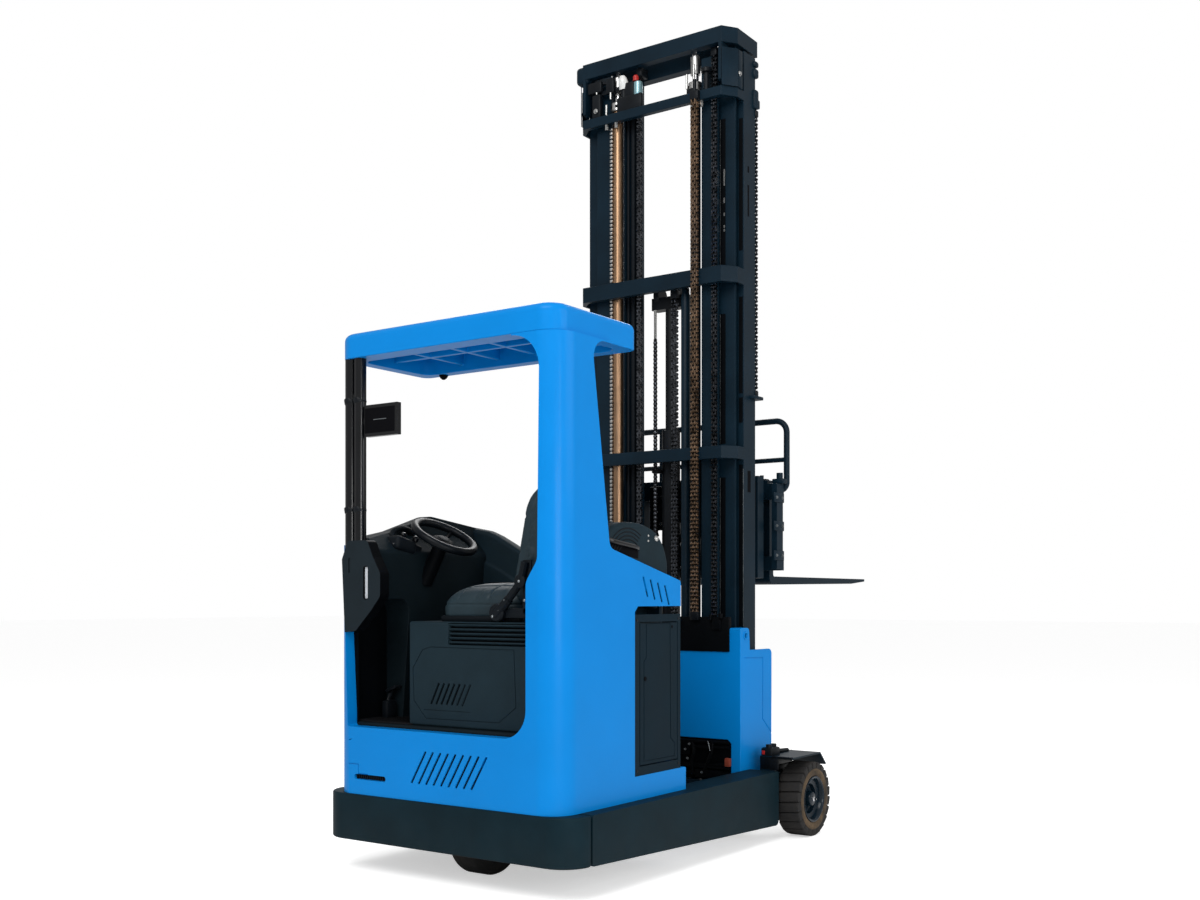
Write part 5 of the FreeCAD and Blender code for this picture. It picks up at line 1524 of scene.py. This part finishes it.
# Black discs round each gland nut are painted shade: they stand for its holes.
gland_hole_shades = Kit()
for side in (1, -1):
    place = (barrel_x, side * barrel_y, GLAND_LOW)
    glands.turned(
        place, (0, 0, 1),
        [(0, 0.026), (0, 0.033), (0.004, 0.036), (0.040, 0.036), (0.044, 0.033), (0.044, 0.0165)], 40,
    )
    glands.turned(
        (barrel_x, side * barrel_y, 3.640), (0, 0, 1),
        [(0, 0.0165), (0, 0.024), (0.085, 0.024), (0.090, 0.0165)], 32,
    )
    for turn in range(6):
        angle = math.radians(60 * turn + 20)
        out = Vector((math.cos(angle), math.sin(angle), 0))
        start = Vector(place) + Vector((0, 0, 0.022)) + out * 0.0345
        gland_hole_shades.rod(start, start + out * 0.003, 0.0075, sides=14)
glands.made("gland_nuts", "reach_carriage", "chromed_rod", zinc)
gland_hole_shades.made("gland_holes", "reach_carriage", "black_machine", black_and_painted_shade)
print("lift cylinders: two barrels, two glands")

# %% Valves and pins between the two top beams
dome_white = finish("dome_white", (0.62, 0.63, 0.62), 0.3)
for name, material, start, axis, profile in (
    (
        "relief_valve_dome", dome_white, (-0.050, 0.165, 3.650), (-0.3, 0, 1),
        [(0, 0), (0, 0.024), (0.030, 0.025), (0.052, 0.020), (0.064, 0.010), (0.066, 0)],
    ),
    (
        "relief_valve_cap", red_cap, (-0.056, 0.092, 3.672), (0, 0, 1),
        [(0, 0), (0, 0.014), (0.022, 0.014), (0.028, 0.009), (0.028, 0)],
    ),
    (
        "relief_valve_can", teal_metal, (-0.056, 0.078, 3.600), (0, 0, 1),
        [(0, 0), (0, 0.019), (0.004, 0.022), (0.060, 0.022), (0.068, 0.013), (0.070, 0)],
    ),
):
    valve = Kit().turned(start, axis, profile, 32)
    valve.made(name, "reach_carriage", "black_machine", material)
tops = Kit()
tops.box((-0.073, 0.052, 3.533), (-0.046, 0.196, 3.606), 0.006)
tops.box((-0.070, 0.100, 3.600), (-0.046, 0.150, 3.672), 0.006)
tops.box((-0.072, 0.215, 3.640), (-0.050, 0.262, 3.716), 0.006)
tops.box((-0.072, 0.290, 3.660), (-0.048, 0.372, 3.716), 0.006)
tops.box((-0.056, 0.140, 3.646), (-0.047, 0.300, 3.668), 0.002)
tops.rod((-0.050, 0.165, 3.600), (-0.050, 0.165, 3.655), 0.016)
tops.rod((-0.060, -0.312, 3.533), (-0.060, -0.312, 3.622), 0.013)
tops.turned(
    (-0.060, -0.312, 3.618), (0, 0, 1),
    [(0, 0), (0, 0.026), (0.016, 0.026), (0.020, 0.022), (0.020, 0)], 28,
)
tops.box((-0.072, 0.296, 3.533), (-0.048, 0.346, 3.650), 0.006)
tops.box((-0.070, -0.250, 3.533), (-0.046, -0.206, 3.560), 0.004)
tops.tube(
    [(-0.060, 0.320, 3.650), (-0.060, 0.322, 3.690), (-0.050, 0.300, 3.712), (-0.040, 0.262, 3.705)],
    0.007,
)
tops.made("top_valves", "reach_carriage", "black_machine", black_paint)
bright = Kit()
for y, z, tall in (
    (0.236, 3.610, 0.100), (-0.312, 3.545, 0.060), (0.262, 3.535, 0.052), (0.320, 3.652, 0.010),
    (-0.246, 3.560, 0.110), (-0.207, 3.560, 0.070),
):
    bright.rod((-0.066, y, z), (-0.066, y, z + tall), 0.0055)
for y in (-0.235, -0.285, 0.262, 0.205):
    bright.rod((-0.062, y, 3.492), (-0.062, y, 3.462), 0.0085, sides=6)
for place, axis in (
    ((-0.0755, 0.320, 3.566), (-1, 0, 0)), ((0.004, -0.4550, 3.600), (0, -1, 0)),
    ((0.004, 0.4550, 3.600), (0, 1, 0)),
):
    bright.hex(place, axis, 0.009, 0.008)
bright.made("top_fasteners", "reach_carriage", "chromed_rod", zinc)
print("mast top: valves, caps and fasteners")

# %% Along the rails: painted shade in their gaps and slots, roller tracks and marks with painted highlights, and stops
OUTER_REAR = 0.055
MIDDLE_REAR = 0.017
PROUD = 0.0006
SUNK = 0.001
# Dark strips on the rails' rear faces are painted shade: they stand for the shaded gaps between one rail and
# the next.
outer_gap_shades = Kit()
middle_gap_shades = Kit()
# Short zinc dashes on the middle rail are painted highlights.
mark_glints = Kit()
# Thin worn steel strips along the rails are partly real roller wear and partly painted highlight: they stand
# for glints on the rails' edges.
outer_track_glints = Kit()
middle_track_glints = Kit()
for side in (-1, 1):
    for low, high in ((0.990, 1.760), (1.960, 2.080), (2.100, 2.560), (2.780, 3.410)):
        outer_gap_shades.side_box(side, (OUTER_REAR - PROUD, 0.423, low), (OUTER_REAR + SUNK, 0.444, high))
    outer_track_glints.side_box(side, (OUTER_REAR - PROUD, 0.4455, 0.990), (OUTER_REAR + SUNK, 0.4485, 1.740))
    for low, high in ((0.990, 1.700), (1.860, 2.480), (2.680, 3.410)):
        middle_gap_shades.side_box(side, (MIDDLE_REAR - PROUD, 0.345, low), (MIDDLE_REAR + SUNK, 0.372, high))
        middle_track_glints.side_box(side, (MIDDLE_REAR - 0.0008, 0.3415, low), (MIDDLE_REAR + SUNK, 0.3445, high))
    for low, high in ((2.872, 2.884), (2.890, 2.903), (2.946, 2.962), (3.008, 3.034), (3.092, 3.170)):
        mark_glints.side_box(side, (MIDDLE_REAR - 0.0012, 0.361, low), (MIDDLE_REAR + SUNK, 0.369, high))
outer_gap_shades.made("outer_rail_seams", "reach_carriage", "black_machine", dense_black)
middle_gap_shades.made("middle_rail_seams", "middle_mast", "black_machine", dense_black)
mark_glints.made("rail_marks", "middle_mast", "chromed_rod", zinc)
outer_track_glints.made("outer_roller_tracks", "reach_carriage", "chromed_rod", worn_steel)
middle_track_glints.made("middle_roller_tracks", "middle_mast", "chromed_rod", worn_steel)
rails = Kit()
for side in (-1, 1):
    for low, high in ((3.482, 3.575), (3.632, 3.676), (3.684, 3.712)):
        rails.side_box(side, (0.146, 0.428, low), (0.186, 0.463, high), 0.010)
    rails.side_box(side, (0.170, 0.428, 3.488), (0.196, 0.463, 3.530), 0.006)
    cheek = Matrix.Rotation(math.radians(side * 35.5), 4, "Z")
    y = side * 0.4307
    rails.box((-0.0880, y - 0.002, 3.534), (-0.0020, y + 0.002, 3.712), 0.0015, cheek)
    rails.side_box(side, (-0.0060, 0.4503, 3.534), (0.0330, 0.4553, 3.712), 0.0015)
    rails.side_box(side, (0.112, 0.426, 2.080), (0.202, 0.478, 2.096), 0.004)
rails.made("rail_stops", "reach_carriage", "dark_paint", dark_paint)
ear = Kit().box((-0.0745, 0.372, 3.7225), (-0.010, 0.4475, 3.8125), 0.020, segments=4)
ear.made("top_beam_ear", "middle_mast", "dark_paint", dark_paint)
# Black patches on the rails' side webs are painted shade: they stand for slots that are not cut.
slot_shades = Kit()
for side in (-1, 1):
    for low, high in ((1.631, 1.733), (2.95, 3.10), (3.16, 3.19)):
        slot_shades.side_box(side, (0.092, 0.4497, low), (0.106 if high > 2 else 0.122, 0.4504, high))
slot_shades.made("rail_slots", "reach_carriage", "black_machine", black_and_painted_shade)
print("rails: seams, roller tracks, stops and slots")

# %% [markdown]
# Oil reaches the lift head through hoses that run up inside the mast. They are clamped and
# don't hang, so each is a plain tube, and rings repeated along one of them make its armour.

# %% Hoses, clamped to the stages they serve
HOSE_Y = 0.014
hoses = Kit()
hose_line = [(0.042, 0.212), (0.014, 0.216), (0.000, 0.250), (0.000, 1.7), (0.000, 2.40)]
hoses.tube([(x, HOSE_Y, z) for x, z in hose_line], 0.0085)
for z in (1.30, 1.75):
    hoses.box((-0.012, -0.006, z - 0.010), (0.034, 0.028, z + 0.010), 0.002)
hoses.made("inner_hose", "inner_mast", "black_machine", mat_rubber)
bead = Kit().turned(
    (0, 0, 0), (0, 0, 1), [(0, 0.0088), (0.003, 0.0108), (0.009, 0.0108), (0.012, 0.0088)], 10, True,
)
repeated(
    "inner_hose_armour", "inner_mast", "black_machine", dark_chain, bead, 72,
    step=(0, 0, 0.020), start=(0.0, HOSE_Y, 0.955),
)
thread = Kit().turned((0, 0, 0), (0, 0, 1), [(0, 0.006), (0.0025, 0.0085), (0.005, 0.006)], 12, True)
repeated(
    "hose_thread", "inner_mast", "chromed_rod", zinc, thread, 26,
    step=(0, 0, 0.0055), start=(0.0, HOSE_Y, 2.40),
)
guide = Kit()
guide.box((0.0300, 0.104, 0.190), (0.0345, 0.208, 3.740), 0.001)
guide.box((0.0180, 0.101, 0.190), (0.0345, 0.107, 3.740), 0.001)
guide.box((0.0180, 0.205, 0.190), (0.0345, 0.211, 3.740), 0.001)
guide.made("hose_guide", "inner_mast", "dark_paint", dark_paint)
guided = Kit()
for y, radius in ((0.128, 0.0095), (0.156, 0.0130), (0.187, 0.0085)):
    guided.rod((0.021, y, 0.200), (0.021, y, 3.700), radius)
guided.made("guided_hoses", "inner_mast", "black_machine", deep_plastic)
feed = Kit()
feed.turned(
    (0.0, -0.160, 0.200), (0, 0, 1),
    [(0, 0.022), (2.390, 0.022), (2.400, 0.019), (2.425, 0.019), (2.425, 0)], 32,
)
for low in (0.200, 2.300):
    feed.box((0.0, -0.176, low), (0.040, -0.144, low + 0.030), 0.003)
feed.box((0.030, -0.176, 0.200), (0.040, -0.144, 2.330), 0.002)
feed.made("feed_tube", "inner_mast", "dark_paint", dark_paint)
print("hoses: one armoured run, three in the guide and a feed tube")

# %% The cross bar over the cover, and the machinery under it
bar = Kit()
bar.box((-0.074, -0.440, 0.872), (-0.047, 0.440, 1.036), 0.004)
for y in (-0.380, -0.160, 0.000, 0.160, 0.380):
    bar.box((-0.088, y - 0.022, 0.975), (-0.072, y + 0.022, 1.024), 0.003)
bar.rod((-0.082, -0.400, 1.030), (-0.082, -0.400, 1.052), 0.011)
bar.rod((-0.082, -0.345, 1.020), (-0.082, -0.345, 1.046), 0.008)
bar.rod((-0.082, 0.380, 1.030), (-0.082, 0.380, 1.052), 0.011)
bar.made("cross_bar", "reach_carriage", "dark_paint", dense_black)
under = Kit()
# The flat black plate across the opening under the cover is painted shade for the space behind it.
under.box((-0.058, -0.446, 0.268), (-0.047, 0.446, 0.462))
under.box((-0.084, -0.230, 0.380), (-0.056, -0.120, 0.450), 0.004)
under.box((-0.084, 0.060, 0.350), (-0.056, 0.200, 0.445), 0.004)
under.box((-0.082, -0.400, 0.275), (-0.056, -0.260, 0.312), 0.004)
for index, height in enumerate((0.446, 0.424, 0.345, 0.326, 0.300)):
    sag = 0.010 * (index % 3)
    points = [
        (-0.070, -0.440, height), (-0.074, -0.250, height - sag), (-0.070, 0.0, height + sag / 2),
        (-0.074, 0.250, height - sag), (-0.070, 0.440, height),
    ]
    under.tube(points, 0.0075)
under.tube(
    [
        (-0.070, -0.350, 0.450), (-0.078, -0.352, 0.400), (-0.078, -0.330, 0.350),
        (-0.070, -0.300, 0.290),
    ],
    0.009,
)
under.tube(
    [
        (-0.070, -0.240, 0.440), (-0.080, -0.260, 0.400), (-0.078, -0.235, 0.340),
        (-0.070, -0.245, 0.285),
    ],
    0.009,
)
under.made("under_cover_hoses", "reach_carriage", "black_machine", dense_black)
# Small steel fittings are partly real fittings and partly painted highlights, set where glints show; the thin
# rod is a painted highlight line.
fitting_glints = Kit()
for y, z in (
    (-0.232, 0.430), (-0.210, 0.404), (-0.222, 0.362), (-0.300, 0.300), (-0.160, 0.392), (0.100, 0.405),
    (0.240, 0.330),
):
    fitting_glints.hex((-0.083, y, z), (-1, 0.2, 0.1), 0.0042, 0.008)
fitting_glints.rod((-0.086, -0.334, 0.452), (-0.084, -0.345, 0.404), 0.0018, sides=8)
fitting_glints.made("under_cover_fittings", "reach_carriage", "chromed_rod", worn_steel)
plug = Kit().box((-0.088, -0.452, 0.336), (-0.068, -0.424, 0.376), 0.004)
plug_red = finish("plug_red", (0.20, 0.040, 0.022), 0.5, specular=0.2)
plug.made("drain_plug", "reach_carriage", "black_machine", plug_red)
print("machinery: cross bar, hoses and 7 fittings")

# %% [markdown]
# The lift carriage holds the forks' frame and the valves that tilt and shift it. Blocks with
# softened edges, short bent lines and rows of hexagon ports make them up.

# %% Valve block and tilt lines on the lift carriage
block = Kit()
block.box((0.150, -0.150, 1.225), (0.214, -0.012, 1.440), 0.005)
block.box((0.160, 0.020, 1.470), (0.214, 0.150, 1.690), 0.005)
block.box((0.155, -0.150, 1.500), (0.214, -0.030, 1.640), 0.005)
block.box((0.165, 0.010, 1.240), (0.214, 0.140, 1.400), 0.005)
block.box((0.198, -0.430, 1.560), (0.216, -0.290, 1.690), 0.004)
block.box((0.198, -0.420, 1.260), (0.216, -0.300, 1.312), 0.004)
for y0, y1, low, high in (
    (-0.13, 0.13, 1.44, 1.62), (-0.06, 0.06, 1.40, 1.50), (-0.02, 0.10, 1.38, 1.47),
    (-0.10, 0.04, 1.60, 1.70),
):
    middle = (y0 + y1) / 2
    block.tube(
        [
            (0.150, y0, low), (0.128, y0, (low + high) / 2), (0.124, middle, high + 0.02),
            (0.130, y1, high), (0.158, y1, high - 0.03),
        ],
        0.008,
    )
block.made("carriage_valves", "lift_carriage", "black_machine", dense_black)
# Zinc ports are partly real ports and partly painted highlights, set at the spots of glints.
port_glints = Kit()
for y, z in (
    (-0.044, 1.394), (-0.100, 1.420), (-0.060, 1.340), (-0.120, 1.270), (-0.035, 1.275),
    (-0.140, 1.230), (0.040, 1.630), (0.110, 1.560), (-0.110, 1.610), (-0.060, 1.540), (0.060, 1.360),
    (0.100, 1.280), (0.080, 1.500),
):
    port_glints.hex((0.150 if y < 0 else 0.162, y, z), (-1, 0.15, 0.1), 0.0075, 0.012)
port_glints.made("carriage_ports", "lift_carriage", "chromed_rod", zinc)
print("lift carriage: valve blocks, lines and 13 ports")

# %% Fork frame: end pads, hooks and bolts
pads = Kit()
pad_bolts = Kit()
for side in (-1, 1):
    for z in (1.335, 1.480, 1.620):
        pads.side_box(side, (0.300, 0.478, z - 0.024), (0.404, 0.487, z + 0.024), 0.004)
        for x in (0.322, 0.382):
            pad_bolts.hex((x, side * 0.4865, z), (0, side, 0), 0.006, 0.006)
    pads.side_box(side, (0.360, 0.440, 1.690), (0.412, 0.500, 1.716), 0.005)
    pads.rod((0.386, side * 0.470, 1.700), (0.386, side * 0.470, 1.745), 0.016)
pads.made("fork_frame_pads", "fork_frame", "dark_paint", dark_paint)
pad_bolts.made("fork_frame_bolts", "fork_frame", "chromed_rod", worn_steel)
hooks = Kit()
for side in (-1, 1):
    hooks.side_box(side, (0.396, 0.312, 1.696), (0.436, 0.388, 1.722), 0.004)
    hooks.rod((0.425, side * 0.350, 1.715), (0.425, side * 0.350, 1.742), 0.010)
hooks.made("fork_hooks", "fork_frame", "dark_paint", black_paint)
print("fork frame: pads, bolts and hooks")

# %% The visual box of what is drawn
low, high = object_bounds()
print("visual box:", [round(value, 4) for value in (*low, *high)])
